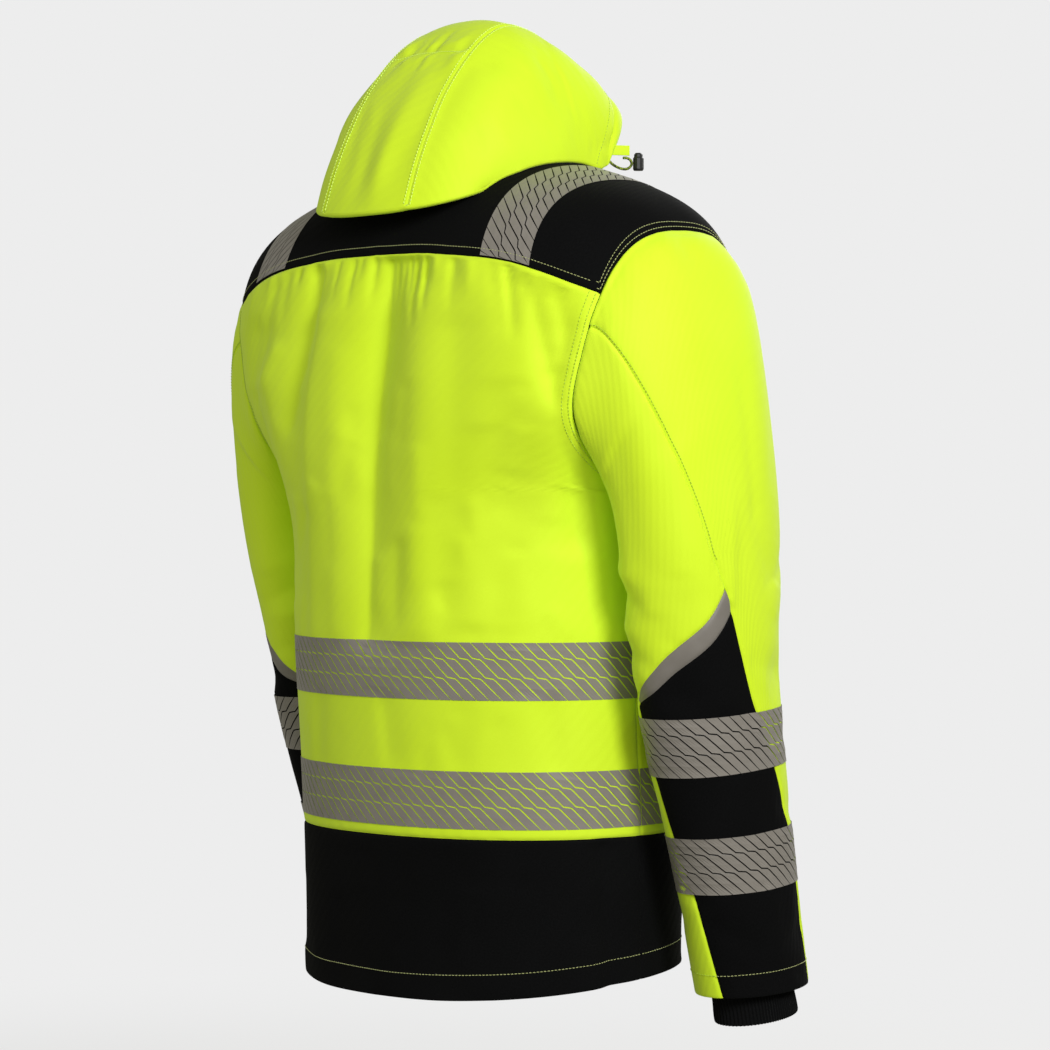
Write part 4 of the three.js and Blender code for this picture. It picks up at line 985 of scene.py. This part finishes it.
# ---------------------------------------------------------------- sleeves
arm_mid = lambda P: np.stack([np.full(P.shape[:-1], -243.0), ARM["y"](P[..., 2]), P[..., 2]], -1)
SLEEVES = {}
for side, sg in (("right", -1), ("left", 1)):
    mir = sg > 0
    rows_all = np.concatenate([stations(0, 6, 330, 4.4, True, False)[:-1], stations(6, 12, 290, 4.8, False, True)])
    so = Surf(lambda c, i: outer_part(c, i, sg), stations(0, 1, 190, 4.2), rows_all, arm_mid)
    shell(f"cloth_sleeve_outer_{side}", so, YELLOW, [f"sleeve_outer_{side}"], "sssf", mirror=mir)
    su = Surf(lambda c, i: under_part(c, i, sg), stations(0, 1, 150, 4.4), rows_all, arm_mid)
    shell(f"cloth_sleeve_under_{side}", su, YELLOW, [f"sleeve_under_{side}"], "sssf", mirror=mir)
    sb = Surf(lambda c, i: back_part(c, i, sg), stations(0, 1, 130, 4), stations(0, 6, 330, 4.2), arm_mid)
    shell(f"cloth_sleeve_back_{side}", sb, YELLOW, [f"sleeve_back_{side}"], "ssss", mirror=mir)
    si = Surf(lambda c, i: back_part(c, i, sg), stations(0, 1, 130, 4), stations(6, 7, 16, 2.5), arm_mid)
    shell(f"cloth_sleeve_insert_{side}", si, INSERTFILM, [f"sleeve_insert_{side}"], "ssss", mirror=mir, pucker=0.1)
    sf = Surf(lambda c, i: back_part(c, i, sg), stations(0, 1, 140, 4.4), stations(7, 12, 280, 4.6), arm_mid)
    shell(f"cloth_forearm_{side}", sf, BLACK, [f"forearm_{side}"], "sssf", mirror=mir, pucker=0.15)
    SLEEVES[side] = dict(outer=so, under=su, back=sb, insert=si, fore=sf, mirror=mir, sg=sg)

# ---------------------------------------------------------------- rib cuffs
CUFF = table("z k", [[-703, 1.16], [-712, 1.06], [-722, 1.0], [CUFF_END, 0.98]])["k"]
RIBS = 74


def cuff_point(th, z):
    s, c = np.sin(th), np.cos(th)
    k = CUFF(z)
    r = polar(s, c, 33 * k, 43 * k, 2)
    r = r + 0.55 * np.sign(np.sin(RIBS * th)) * np.abs(np.sin(RIBS * th)) ** 0.6 - 0.5 + 0.5 * np.sin(2 * th + z / 9) * smooth((z - CUFF_END) / 20)
    return np.stack([-(239 + r * s), -98 + r * c + (z + 730) * 0.22, z - 0.12 * r * c], -1)


cuff_surf = Surf(cuff_point, np.linspace(0, 2 * math.pi, RIBS * 8 + 1), np.concatenate([np.linspace(-703, CUFF_END + 3, 16), [CUFF_END + 1.4, CUFF_END + 0.5, CUFF_END]]),
                 lambda P: np.stack([0 * P[..., 0] - 239, -98 + (P[..., 2] + 730) * 0.22, P[..., 2]], -1), closed=True)
for side in ("right", "left"):
    shell(f"cloth_cuff_{side}", cuff_surf, RIB, [f"cuff_{side}"], "nnnf", mirror=side == "left", pucker=0)

# ---------------------------------------------------------------- reflective tape in segments
# one slit down the tape, each third a slanting run and a short jog: along and down in mm
SLIT = np.array([[0, 0], [6.6, 6.7], [13.2, 13.4], [20.2, 14.6], [22.6, 16.67], [29.2, 23.4], [35.8, 30.1], [42.8, 31.3], [45.2, 33.33], [51.8, 40], [61.6, 50]], float)
SLIT_W, PITCH = 1.2, 11.4


def tape(name, surf, nodes, flat, on, s0=0.0, s1=None, pitch=PITCH, phase=0.0, lift=0.36, thick=0.16, mirror=False, sgn=1, loop=False, width=50.0, down_axis=1):
    """Film strips between slanting slits, laid on surf: along its u, width down its v."""
    mid = surf.A[:, len(surf.vs) // 2] if down_axis == 1 else surf.B[len(surf.us) // 2]
    total = float(mid[-1])
    s1 = total if s1 is None else s1
    if loop:
        pitch = total / round(total / pitch)
    d = np.gradient(SLIT, axis=0)
    nrm = unit(np.stack([-d[:, 1], d[:, 0]], -1))
    L0 = SLIT - nrm * SLIT_W / 2
    R0 = SLIT + np.array([pitch, 0]) + nrm * SLIT_W / 2
    for Q in (L0, R0):
        Q[:, 1] = np.clip(Q[:, 1], 0, 50)
        Q[0, 1], Q[-1, 1] = 0.0, 50.0
    cols = 4
    t = np.linspace(0, 1, cols)[:, None, None]
    grid = L0 * (1 - t) + R0 * t
    n_rows = len(SLIT)
    V, F, UV = [], [], []
    base = 0
    k0 = -int(70 / pitch) - 2
    k1 = int(s1 / pitch) + 2
    ks = range(0, int(round(total / pitch))) if loop else range(k0, k1)
    for k in ks:
        g = grid.copy()
        g[..., 0] += k * pitch + phase
        if loop:
            s = np.mod(g[..., 0], total)
        else:
            s = np.clip(g[..., 0], s0, s1)
            if s.max() - s.min() < 1.5 or g[..., 0].max() <= s0 + 0.8 or g[..., 0].min() >= s1 - 0.8:
                continue
            if np.ptp(s[:, 0]) < 0.3 and np.ptp(s[:, -1]) < 0.3 and np.ptp(s) < 2:
                continue
        tt = g[..., 1] / 50.0
        i = np.interp(s, mid, np.arange(len(mid)))
        if down_axis == 1:
            P, N = surf.cell(i, tt * (len(surf.vs) - 1))
        else:
            P, N = surf.cell((1 - tt) * (len(surf.us) - 1), i)
        o = P + N * (lift + thick)
        b = P + N * lift
        idx = np.arange(cols * n_rows).reshape(cols, n_rows)
        n = cols * n_rows
        q = lambda a, b_, c, d_: np.stack([x.ravel() for x in (a, b_, c, d_)], -1)
        f = [q(idx[:-1, :-1], idx[1:, :-1], idx[1:, 1:], idx[:-1, 1:]), q(idx[:-1, :-1], idx[:-1, 1:], idx[1:, 1:], idx[1:, :-1]) + n]
        rim = np.concatenate([idx[:, 0], idx[-1, 1:], idx[::-1, -1][1:], idx[0, ::-1][1:-1]])
        nx = np.roll(rim, -1)
        f.append(np.stack([rim, rim + n, nx + n, nx], -1))
        V += [o.reshape(-1, 3), b.reshape(-1, 3)]
        UV += [np.stack([g[..., 0], g[..., 1]], -1).reshape(-1, 2)] * 2
        F.append(np.concatenate(f) + base)
        base += 2 * n
    V, F = np.concatenate(V), np.concatenate(F)
    if mirror:
        V = V * np.array([-1, 1, 1])
    ob = new_object(name, V, F, np.concatenate(UV), smooth_shade=False)
    import bmesh
    bm = bmesh.new()
    bm.from_mesh(ob.data)
    bmesh.ops.dissolve_degenerate(bm, dist=2e-6, edges=bm.edges)
    bmesh.ops.recalc_face_normals(bm, faces=bm.faces)
    bm.to_mesh(ob.data)
    bm.free()
    ob.data.materials.append(FILM)
    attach(ob, "root")
    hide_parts(*nodes)
    list(on)
    return ob


tape_vs = lambda a: np.linspace(a, a + 2, 26)
for name, w0 in (("tape_upper", 2), ("tape_lower", 6)):
    ph = 0 if w0 == 2 else 4
    sf_ = Surf(lambda c, w: panel_point(c, w, False), np.linspace(-1, 1, 240), tape_vs(w0), down)
    tape(f"film_{name}_back", sf_, [f"{name}_back"], (sf_.A[-1].max() * MM, 0.05), ["back_body"], s0=0.4, s1=float(sf_.A[-1, 13]) - 0.4, phase=ph)
    fr_ = Surf(lambda c, w: panel_point(c, w, True), np.linspace(0, 1, 130), tape_vs(w0), down)
    tape(f"film_{name}_front_right", fr_, [f"{name}_front_right"], (fr_.A[-1].max() * MM, 0.05), ["front_right"], s0=0.4, s1=float(fr_.A[-1, 13]) - 0.4, phase=ph)
    fl_ = Surf(mirror_phi(None), np.linspace(0, 1, 130), tape_vs(w0), down)
    tape(f"film_{name}_front_left", fl_, [f"{name}_front_left"], (fl_.A[-1].max() * MM, 0.05), ["front_left"], s0=0.4, s1=float(fl_.A[-1, 13]) - 0.4, phase=ph)
for side in ("right", "left"):
    sg = SLEEVES[side]["sg"]
    for name, z in (("sleeve_tape_upper", S_TAPE1), ("sleeve_tape_lower", S_TAPE2)):
        # runs round from behind towards the outside, so its slits slant as they do on the body
        ss = Surf(lambda th, q: sleeve(th, q, sg), np.linspace(0, 2 * math.pi, 200), np.linspace(run_of(z), run_of(z - TAPE_W), 22), arm_mid, closed=True)
        tape(f"film_{name}_{side}", ss, [f"{name}_{side}"], (ss.A[-1].max() * MM, 0.05), [f"forearm_{side}"], loop=True, lift=0.62, mirror=side == "left")

# shoulder tapes lie over the yoke
SB, SF = 152, 132


def cap_point(x, y):
    yc = float(BODY["yc"](RING))
    phi, r = np.arctan2(-x, y - yc), np.hypot(x, y - yc)
    m = bisect(np.full(r.shape, float(RING)), np.zeros(r.shape), lambda q: np.hypot(body(phi, q)[..., 0], body(phi, q)[..., 1] - yc) > r, 32)
    return body(phi, m)


def shoulder_tape(x, t):
    xs1 = np.linspace(-TAPE_W / 2, TAPE_W / 2, 21)
    X = lerp(SB, SF, 0) + xs1
    yb = bisect(np.zeros(21), np.full(21, 140.0), lambda y: cap_point(-X, y)[:, 2] - YOKE_BACK(np.arctan2(X, y + 14) / D2R) > 1.0, 16)
    X2 = lerp(SB, SF, 1) + xs1
    yf = bisect(np.zeros(21), np.full(21, 118.0), lambda y: cap_point(-X2, -y)[:, 2] - YOKE_FRONT(np.arctan2(X2, y - 14) / D2R) > 1.0, 16)
    Yb, Yf = np.interp(x, xs1, yb), np.interp(x, xs1, yf)
    xs = lerp(SB, SF, t) + x
    return cap_point(-xs, lerp(Yb, -Yf, (1 - np.cos(math.pi * t)) / 2 * 0.8 + t * 0.2))


st = Surf(shoulder_tape, np.linspace(-25, 25, 22), np.linspace(0, 1, 110), low)
for side in ("right", "left"):
    tape(f"film_shoulder_tape_{side}", st, [f"shoulder_tape_{side}"], (st.B[:, -1].max() * MM, 0.05), ["yoke"], s0=0.5, s1=float(st.B[11, -1]) - 0.5, lift=0.30, mirror=side == "left", down_axis=0)


# ---------------------------------------------------------------- stitching
class Bucket:
    def __init__(self):
        self.v, self.f, self.n = [], [], 0


OLIVE, GREEN, PALE = Bucket(), Bucket(), Bucket()


def stitch(bucket, P, N, pitch=3.2, gap=0.8, r=0.36, lift=0.25, mirror=False):
    """Short round stitches along a line of points."""
    s = np.concatenate([[0], np.cumsum(np.linalg.norm(np.diff(P, axis=0), axis=1))])
    n = int(s[-1] / pitch)
    if n < 1:
        return
    a = np.arange(n) * pitch + gap / 2
    ts = a[:, None] + np.array([0, 0.25, 0.75, 1.0])[None] * (pitch - gap)
    g = lambda G: np.stack([np.interp(ts, s, G[:, i]) for i in range(3)], -1)
    C, NN = g(P), unit(g(N))
    T = unit(C[:, 3:4] - C[:, 0:1])
    Bn = unit(np.cross(np.broadcast_to(T, NN.shape), NN))
    rad = np.array([0.45, 1, 1, 0.45]) * r
    h = np.array([-0.1, 1, 1, -0.1]) * lift
    ang = np.arange(5) * 2 * math.pi / 5
    ring = C[:, :, None] + NN[:, :, None] * (h[None, :, None, None] + (np.sin(ang)[None, None, :, None] * rad[None, :, None, None])) + Bn[:, :, None] * (np.cos(ang)[None, None, :, None] * rad[None, :, None, None])
    V = ring.reshape(-1, 3)
    idx = np.arange(20).reshape(4, 5)
    nx = np.roll(idx, -1, 1)
    f = np.stack([idx[:-1].ravel(), nx[:-1].ravel(), nx[1:].ravel(), idx[1:].ravel()], -1)
    caps = np.array([[0, 4, 3, 2], [0, 2, 1, 1], [15, 16, 17, 18], [15, 18, 19, 19]])
    f = np.concatenate([f, caps])
    F = (f[None] + (np.arange(n) * 20)[:, None, None]).reshape(-1, 4) + bucket.n
    if mirror:
        V = V * np.array([-1, 1, 1])
    bucket.v.append(V)
    bucket.f.append(F)
    bucket.n += len(V)


def along(surf, edge, inset, a=0.0, b=1.0, n=220):
    """A line inset mm inside an edge (u0 u1 v0 v1) of a surface, from share a to share b of that edge."""
    nu, nv = len(surf.us), len(surf.vs)
    if edge[0] == "u":
        j = np.linspace(a * (nv - 1), b * (nv - 1), n)
        j0 = np.clip(j.astype(int), 0, nv - 2)
        D = surf.A if edge == "u0" else (surf.A[-1:] - surf.A)[::-1]
        i = np.array([np.interp(inset, D[:, k] * (1 - (x - k)) + D[:, k + 1] * (x - k), np.arange(nu)) for x, k in zip(j, j0)])
        if edge == "u1":
            i = nu - 1 - i
    else:
        i = np.linspace(a * (nu - 1), b * (nu - 1), n)
        i0 = np.clip(i.astype(int), 0, nu - 2)
        D = surf.B if edge == "v0" else (surf.B[:, -1:] - surf.B)[:, ::-1]
        j = np.array([np.interp(inset, D[k] * (1 - (x - k)) + D[k + 1] * (x - k), np.arange(nv)) for x, k in zip(i, i0)])
        if edge == "v1":
            j = nv - 1 - j
    return surf.cell(i, j)


# yoke: one line above the back and front seams, two along each armhole
us = yoke.us


def share(u):
    return float(np.interp(u, us, np.arange(len(us))) / (len(us) - 1))


stitch(OLIVE, *along(yoke, "v1", 8, share(-CB[0] + 0.02), share(CB[0] - 0.02), 400))
for sgn in (1, -1):
    a, b = sorted((share(sgn * (CF[0] + 0.02)), share(sgn * SZ)))
    stitch(OLIVE, *along(yoke, "v1", 8, a, b, 200))
    a, b = sorted((share(sgn * (CB[0] - 0.012)), share(sgn * (CF[0] + 0.012))))
    for inset in (3.2, 9.0):
        stitch(OLIVE, *along(yoke, "v1", inset, a, b, 240))
    stitch(OLIVE, *along(yoke, "u1" if sgn > 0 else "u0", 6))
stitch(OLIVE, *along(yoke, "v0", 4, 0.02, 0.98, 300))
stitch(OLIVE, *along(collar, "v1", 6, 0.01, 0.99, 300))
for e in ("u0", "u1"):
    stitch(OLIVE, *along(collar, e, 6))
# armholes of the body
lastw = float(np.interp(1.0, back.vs, np.arange(len(back.vs))) / (len(back.vs) - 1))
for inset in (3.2, 9.0):
    for e in ("u0", "u1"):
        stitch(GREEN, *along(back, e, inset, 0.01, lastw))
    for fs in (front, front_l):
        stitch(GREEN, *along(fs, "u0", inset, 0.01, lastw))
for fs in (front, front_l):
    stitch(GREEN, *along(fs, "u1", 6))
for fs in (lfront, lfront_l):
    stitch(OLIVE, *along(fs, "u1", 6, 0, 1))
    stitch(OLIVE, *along(fs, "v1", 22, 0, 1, 300))
stitch(OLIVE, *along(lback, "v1", 22, 0, 1, 400))
# sleeves
for side in ("right", "left"):
    sl = SLEEVES[side]
    stitch(OLIVE, *along(sl["fore"], "v1", 21), mirror=sl["mirror"])
    for k in ("outer", "under"):
        stitch(GREEN, *along(sl[k], "v1", 21), mirror=sl["mirror"])
    stitch(GREEN, *along(sl["outer"], "u0", 2.4, 0, 0.46), mirror=sl["mirror"])
# hood: both sides of its seams, the casing of the face edge, the adjuster
for e in ("u0", "u1"):
    stitch(PALE, *along(hood_c, e, 3.2, n=300))
for side in ("right", "left"):
    hs = PANELS[f"hood_{side}"][0]
    stitch(PALE, *along(hs, "u0", 3.2, n=300))
    stitch(GREEN, *along(hs, "v0", 24, 0, 0.97))
stitch(GREEN, *along(hood_c, "v0", 24))
uu = np.linspace(-0.96, 0.96, 120)
stitch(PALE, *hood_c.at(uu, np.full(120, ADJUST)), r=0.3)

for name, bk_, look in (("thread_on_black", OLIVE, T_OLIVE), ("thread_on_yellow", GREEN, T_GREEN), ("thread_on_hood", PALE, T_PALE)):
    F = np.concatenate(bk_.f)
    V = np.concatenate(bk_.v)
    quads = [tuple(x) if x[2] != x[3] else tuple(x[:3]) for x in F.tolist()]
    ob = new_object(name, V, quads)
    ob.data.materials.append(look)
    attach(ob, "root")

# ---------------------------------------------------------------- hood foot: the edge turned under towards the neck
def foot_curve(n=150):
    v = np.linspace(0, 1, n)
    b = np.linspace(math.pi / 2, -math.pi / 2, n)
    return np.concatenate([hood(math.pi / 2, v), hood(b, np.ones(n))[1:-1], hood(-math.pi / 2, v[::-1])])


foot = foot_curve()
axis = np.array([0.0, 0.0, 0])
inward = np.stack([-foot[:, 0], -14 - foot[:, 1], 0 * foot[:, 0]], -1)
inward = unit(inward)
prof = [(0.0, 0.0), (0.6, -1.6), (2.0, -2.6), (4.0, -2.9), (7.0, -2.4), (11.0, -1.2), (15.0, 1.0)]
ringv = np.stack([foot + inward * a + np.array([0, 0, b]) for a, b in prof], 1)
ringi = np.stack([foot + inward * (a + (1.2 if k == 0 else 0.4)) + np.array([0, 0, b + 1.6]) for k, (a, b) in enumerate(prof)], 1)
nf, npf = ringv.shape[:2]
V = np.concatenate([ringv.reshape(-1, 3), ringi.reshape(-1, 3)])
idx = np.arange(nf * npf).reshape(nf, npf)
q4 = lambda a, b, c, d: np.stack([x.ravel() for x in (a, b, c, d)], -1)
F = [q4(idx[:-1, :-1], idx[1:, :-1], idx[1:, 1:], idx[:-1, 1:]), q4(idx[:-1, :-1], idx[:-1, 1:], idx[1:, 1:], idx[1:, :-1]) + nf * npf]
rim = np.concatenate([idx[:, 0], idx[-1, 1:], idx[::-1, -1][1:], idx[0, ::-1][1:-1]])
nx = np.roll(rim, -1)
F.append(np.stack([rim, rim + nf * npf, nx + nf * npf, nx], -1))
ls = np.concatenate([[0], np.cumsum(np.linalg.norm(np.diff(foot, axis=0), axis=1))])
uvf = np.stack([np.repeat(ls[:, None], npf, 1), np.repeat(np.array([a for a, b in prof])[None], nf, 0)], -1).reshape(-1, 2)
ob = new_object("cloth_hood_edge", V, np.concatenate(F), np.concatenate([uvf, uvf]))
ob.data.materials.append(YELLOW)
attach(ob, "root")

# ---------------------------------------------------------------- zip: woven tape, teeth, slider, puller
zip_rows = np.concatenate([np.linspace(0, 1, 120)[:-1], np.linspace(1, 2, 40)[:-1], np.linspace(2.004, 3, 24)])


def zip_point(x, v):
    h = (np.clip(v, 2, 3) - 2) * 0.985
    pc = collar_point(math.pi + 0 * h, h)
    rc = np.abs(pc[..., 1] - BODY["yc"](RING))
    A_ = collar_point(math.pi - np.arcsin(x / rc), h)
    m = np.where(v <= 1, lerp(HEM(180) + 2, RING, np.clip(v, 0, 1)), lerp(RING, 0, np.clip(v - 1, 0, 1)))
    pb = body(math.pi + 0 * m, m)
    rb = np.abs(pb[..., 1] - BODY["yc"](np.minimum(m, RING)))
    B_ = body(math.pi - np.arcsin(x / rb), m)
    return np.where((v >= 2)[..., None], A_, B_)


zs = Surf(zip_point, np.linspace(-ZIP_HALF + 0.15, ZIP_HALF - 0.15, 9), zip_rows, down)
zs.P = zs.P - zs.N * 0.4
shell("cloth_zip", zs, ZIPCLOTH, ["zip"], "nnnn", thick=1.3, pucker=0)
PT, NT = zs.at(np.zeros(1200), np.linspace(0, 3, 1200))
s = np.concatenate([[0], np.cumsum(np.linalg.norm(np.diff(PT, axis=0), axis=1))])
pitch = 1.35
n = int((s[-1] - 9) / pitch)
ts = 2 + np.arange(n) * pitch
g = lambda G: np.stack([np.interp(ts, s, G[:, i]) for i in range(3)], -1)
C, NN = g(PT), unit(g(NT))
T = unit(np.gradient(C, axis=0))
Sd = unit(np.cross(T, NN))
box = np.array([[x, y, z] for x in (-1, 1) for y in (-1, 1) for z in (-1, 1)], float)
V, F = [], []
bf = np.array([[0, 1, 3, 2], [4, 6, 7, 5], [0, 4, 5, 1], [2, 3, 7, 6], [0, 2, 6, 4], [1, 5, 7, 3]])
for k in range(n):
    sx = 1 if k % 2 else -1
    for (cx, hx, hy, hz, zo) in ((0.85 * sx, 1.35, 0.50, 0.75, 0.95), (-0.35 * sx, 0.5, 0.62, 0.6, 0.95)):
        taper = np.where(box[:, 2:3] > 0, 0.78, 1.0)
        q = box * np.array([hx, hy, hz]) * np.concatenate([taper, taper, np.ones_like(taper)], 1)
        V.append(C[k] + Sd[k] * (q[:, 0:1] + cx) + T[k] * q[:, 1:2] + NN[k] * (q[:, 2:3] + zo))
        F.append(bf + 8 * (len(V) - 1))
ob = new_object("zip_teeth", np.concatenate(V), np.concatenate(F), smooth_shade=False)
ob.data.materials.append(PLASTIC)
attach(ob, "root")

# ---------------------------------------------------------------- hard bits and small cloth bits
import bmesh


def bevel_copy(node_name, name, width, segments, look, reach=None):
    """The CAD node's own mesh, with its edges rounded."""
    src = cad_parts[node_name]
    ob = bpy.data.objects.new(name, src.data.copy())
    bpy.context.scene.collection.objects.link(ob)
    bm = bmesh.new()
    bm.from_mesh(ob.data)
    bmesh.ops.remove_doubles(bm, verts=bm.verts, dist=1e-6)
    if reach is not None:
        near = sorted(bm.verts, key=lambda v: v.co.y)[len(bm.verts) // 2:]
        for v in near:
            v.co += Vector(reach) * MM
    bmesh.ops.dissolve_limit(bm, angle_limit=0.02, verts=bm.verts, edges=bm.edges)
    sharp = [e for e in bm.edges if len(e.link_faces) == 2 and e.calc_face_angle(0) > 0.5]
    bmesh.ops.bevel(bm, geom=sharp, offset=width * MM, segments=segments, profile=0.6, affect="EDGES", clamp_overlap=True)
    bmesh.ops.recalc_face_normals(bm, faces=bm.faces)
    bm.to_mesh(ob.data)
    bm.free()
    ob.data.materials.clear()
    ob.data.materials.append(look)
    ob.data.polygons.foreach_set("use_smooth", np.ones(len(ob.data.polygons), bool))
    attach(ob, "root")
    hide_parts(node_name)
    return ob


bevel_copy("zip_slider", "slider", 0.9, 3, PLASTIC)
pul = bevel_copy("zip_puller", "puller", 0.4, 2, ZIPCLOTH)
for side in ("right", "left"):
    t_ = bevel_copy(f"cord_tab_{side}", f"tab_{side}", 0.45, 2, YELLOW, reach=((3.0 if side == "right" else -3.0), 6.0, 0))
    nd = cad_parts[f"cord_lock_{side}"]
    nd.data.materials.clear()
    nd.data.materials.append(PLASTIC)
    nd.data.polygons.foreach_set("use_smooth", np.ones(len(nd.data.polygons), bool))

# ---------------------------------------------------------------- floor and light
FLOOR = -1.05
me = bpy.data.meshes.new("floor")
ringn = 96
vv = [(0, 0, FLOOR)]
radii = [0.4, 0.8, 1.2, 1.8, 2.6, 4, 7, 14, 40]
for r in radii:
    vv += [(r * math.cos(2 * math.pi * k / ringn), r * math.sin(2 * math.pi * k / ringn), FLOOR) for k in range(ringn)]
ff = [(0, 1 + k, 1 + (k + 1) % ringn) for k in range(ringn)]
for j in range(len(radii) - 1):
    a, b = 1 + j * ringn, 1 + (j + 1) * ringn
    ff += [(a + k, b + k, b + (k + 1) % ringn, a + (k + 1) % ringn) for k in range(ringn)]
me.from_pydata(vv, [], ff)
floor = bpy.data.objects.new("floor", me)
bpy.context.scene.collection.objects.link(floor)
floor.visible_diffuse = False
floor.visible_glossy = False
fm = bpy.data.materials.new("pale_floor")
fm.use_nodes = True
t = fm.node_tree
t.nodes.clear()
o_ = t.nodes.new("ShaderNodeOutputMaterial")
mx = t.nodes.new("ShaderNodeMixShader")
df = node(t, "ShaderNodeBsdfDiffuse")
df.inputs["Color"].default_value = (0.80, 0.80, 0.80, 1)
em = t.nodes.new("ShaderNodeEmission")
em.inputs["Color"].default_value = (0.847, 0.847, 0.847, 1)
em.inputs["Strength"].default_value = 1.0
tc = t.nodes.new("ShaderNodeTexCoord")
ln = t.nodes.new("ShaderNodeVectorMath")
ln.operation = "LENGTH"
t.links.new(tc.outputs["Object"], ln.inputs[0])
mr = t.nodes.new("ShaderNodeMapRange")
mr.inputs["From Min"].default_value, mr.inputs["From Max"].default_value = 1.0, 2.6
mr.interpolation_type = "SMOOTHSTEP"
mr.inputs["To Min"].default_value, mr.inputs["To Max"].default_value = 0.55, 1.0
t.links.new(ln.outputs["Value"], mr.inputs["Value"])
t.links.new(mr.outputs[0], mx.inputs[0])
t.links.new(df.outputs[0], mx.inputs[1])
t.links.new(em.outputs[0], mx.inputs[2])
t.links.new(mx.outputs[0], o_.inputs[0])
me.materials.append(fm)

world = bpy.data.worlds.new("studio")
bpy.context.scene.world = world
world.use_nodes = True
t = world.node_tree
t.nodes.clear()
o_ = t.nodes.new("ShaderNodeOutputWorld")
b1 = t.nodes.new("ShaderNodeBackground")
b1.inputs["Color"].default_value = (1, 1, 0.82, 1)
b1.inputs["Strength"].default_value = 0.30
b2 = t.nodes.new("ShaderNodeBackground")
b2.inputs["Color"].default_value = (0.847, 0.847, 0.847, 1)
b2.inputs["Strength"].default_value = 1.0
lp = t.nodes.new("ShaderNodeLightPath")
mx = t.nodes.new("ShaderNodeMixShader")
t.links.new(lp.outputs["Is Camera Ray"], mx.inputs[0])
t.links.new(b1.outputs[0], mx.inputs[1])
t.links.new(b2.outputs[0], mx.inputs[2])
t.links.new(mx.outputs[0], o_.inputs[0])
bpy.context.scene.view_settings.view_transform = "Standard"
bpy.context.scene.view_settings.look = "None"
bpy.context.scene.view_settings.exposure = 0.0
bpy.context.scene.view_settings.gamma = 1.0

RIGHT = Vector((-math.sqrt(0.5), -math.sqrt(0.5), 0))
UPV = Vector((0, 0, 1))


def area(name, place, size, power, colour=(1, 1, 1), aim=AIM):
    d = bpy.data.lights.new(name, "AREA")
    d.shape, d.size, d.energy, d.color = "DISK", size, power, colour
    o = bpy.data.objects.new(name, d)
    bpy.context.scene.collection.objects.link(o)
    o.location = place
    o.rotation_mode = "QUATERNION"
    o.rotation_quaternion = (aim - place).to_track_quat("-Z", "Y")
    return o


area("key", AIM + Vector((-2.50, 0.86, 1.05)), 0.9, 60, (0.97, 0.99, 1.0))
area("front", AIM + RIGHT * 0.1 + away * 2.9 + UPV * 1.2, 1.4, 17)
area("left", AIM - RIGHT * 2.4 + away * 0.2 + UPV * 0.6, 1.4, 7)
area("behind", AIM + Vector((0.6, -2.7, 1.2)), 1.8, 44)
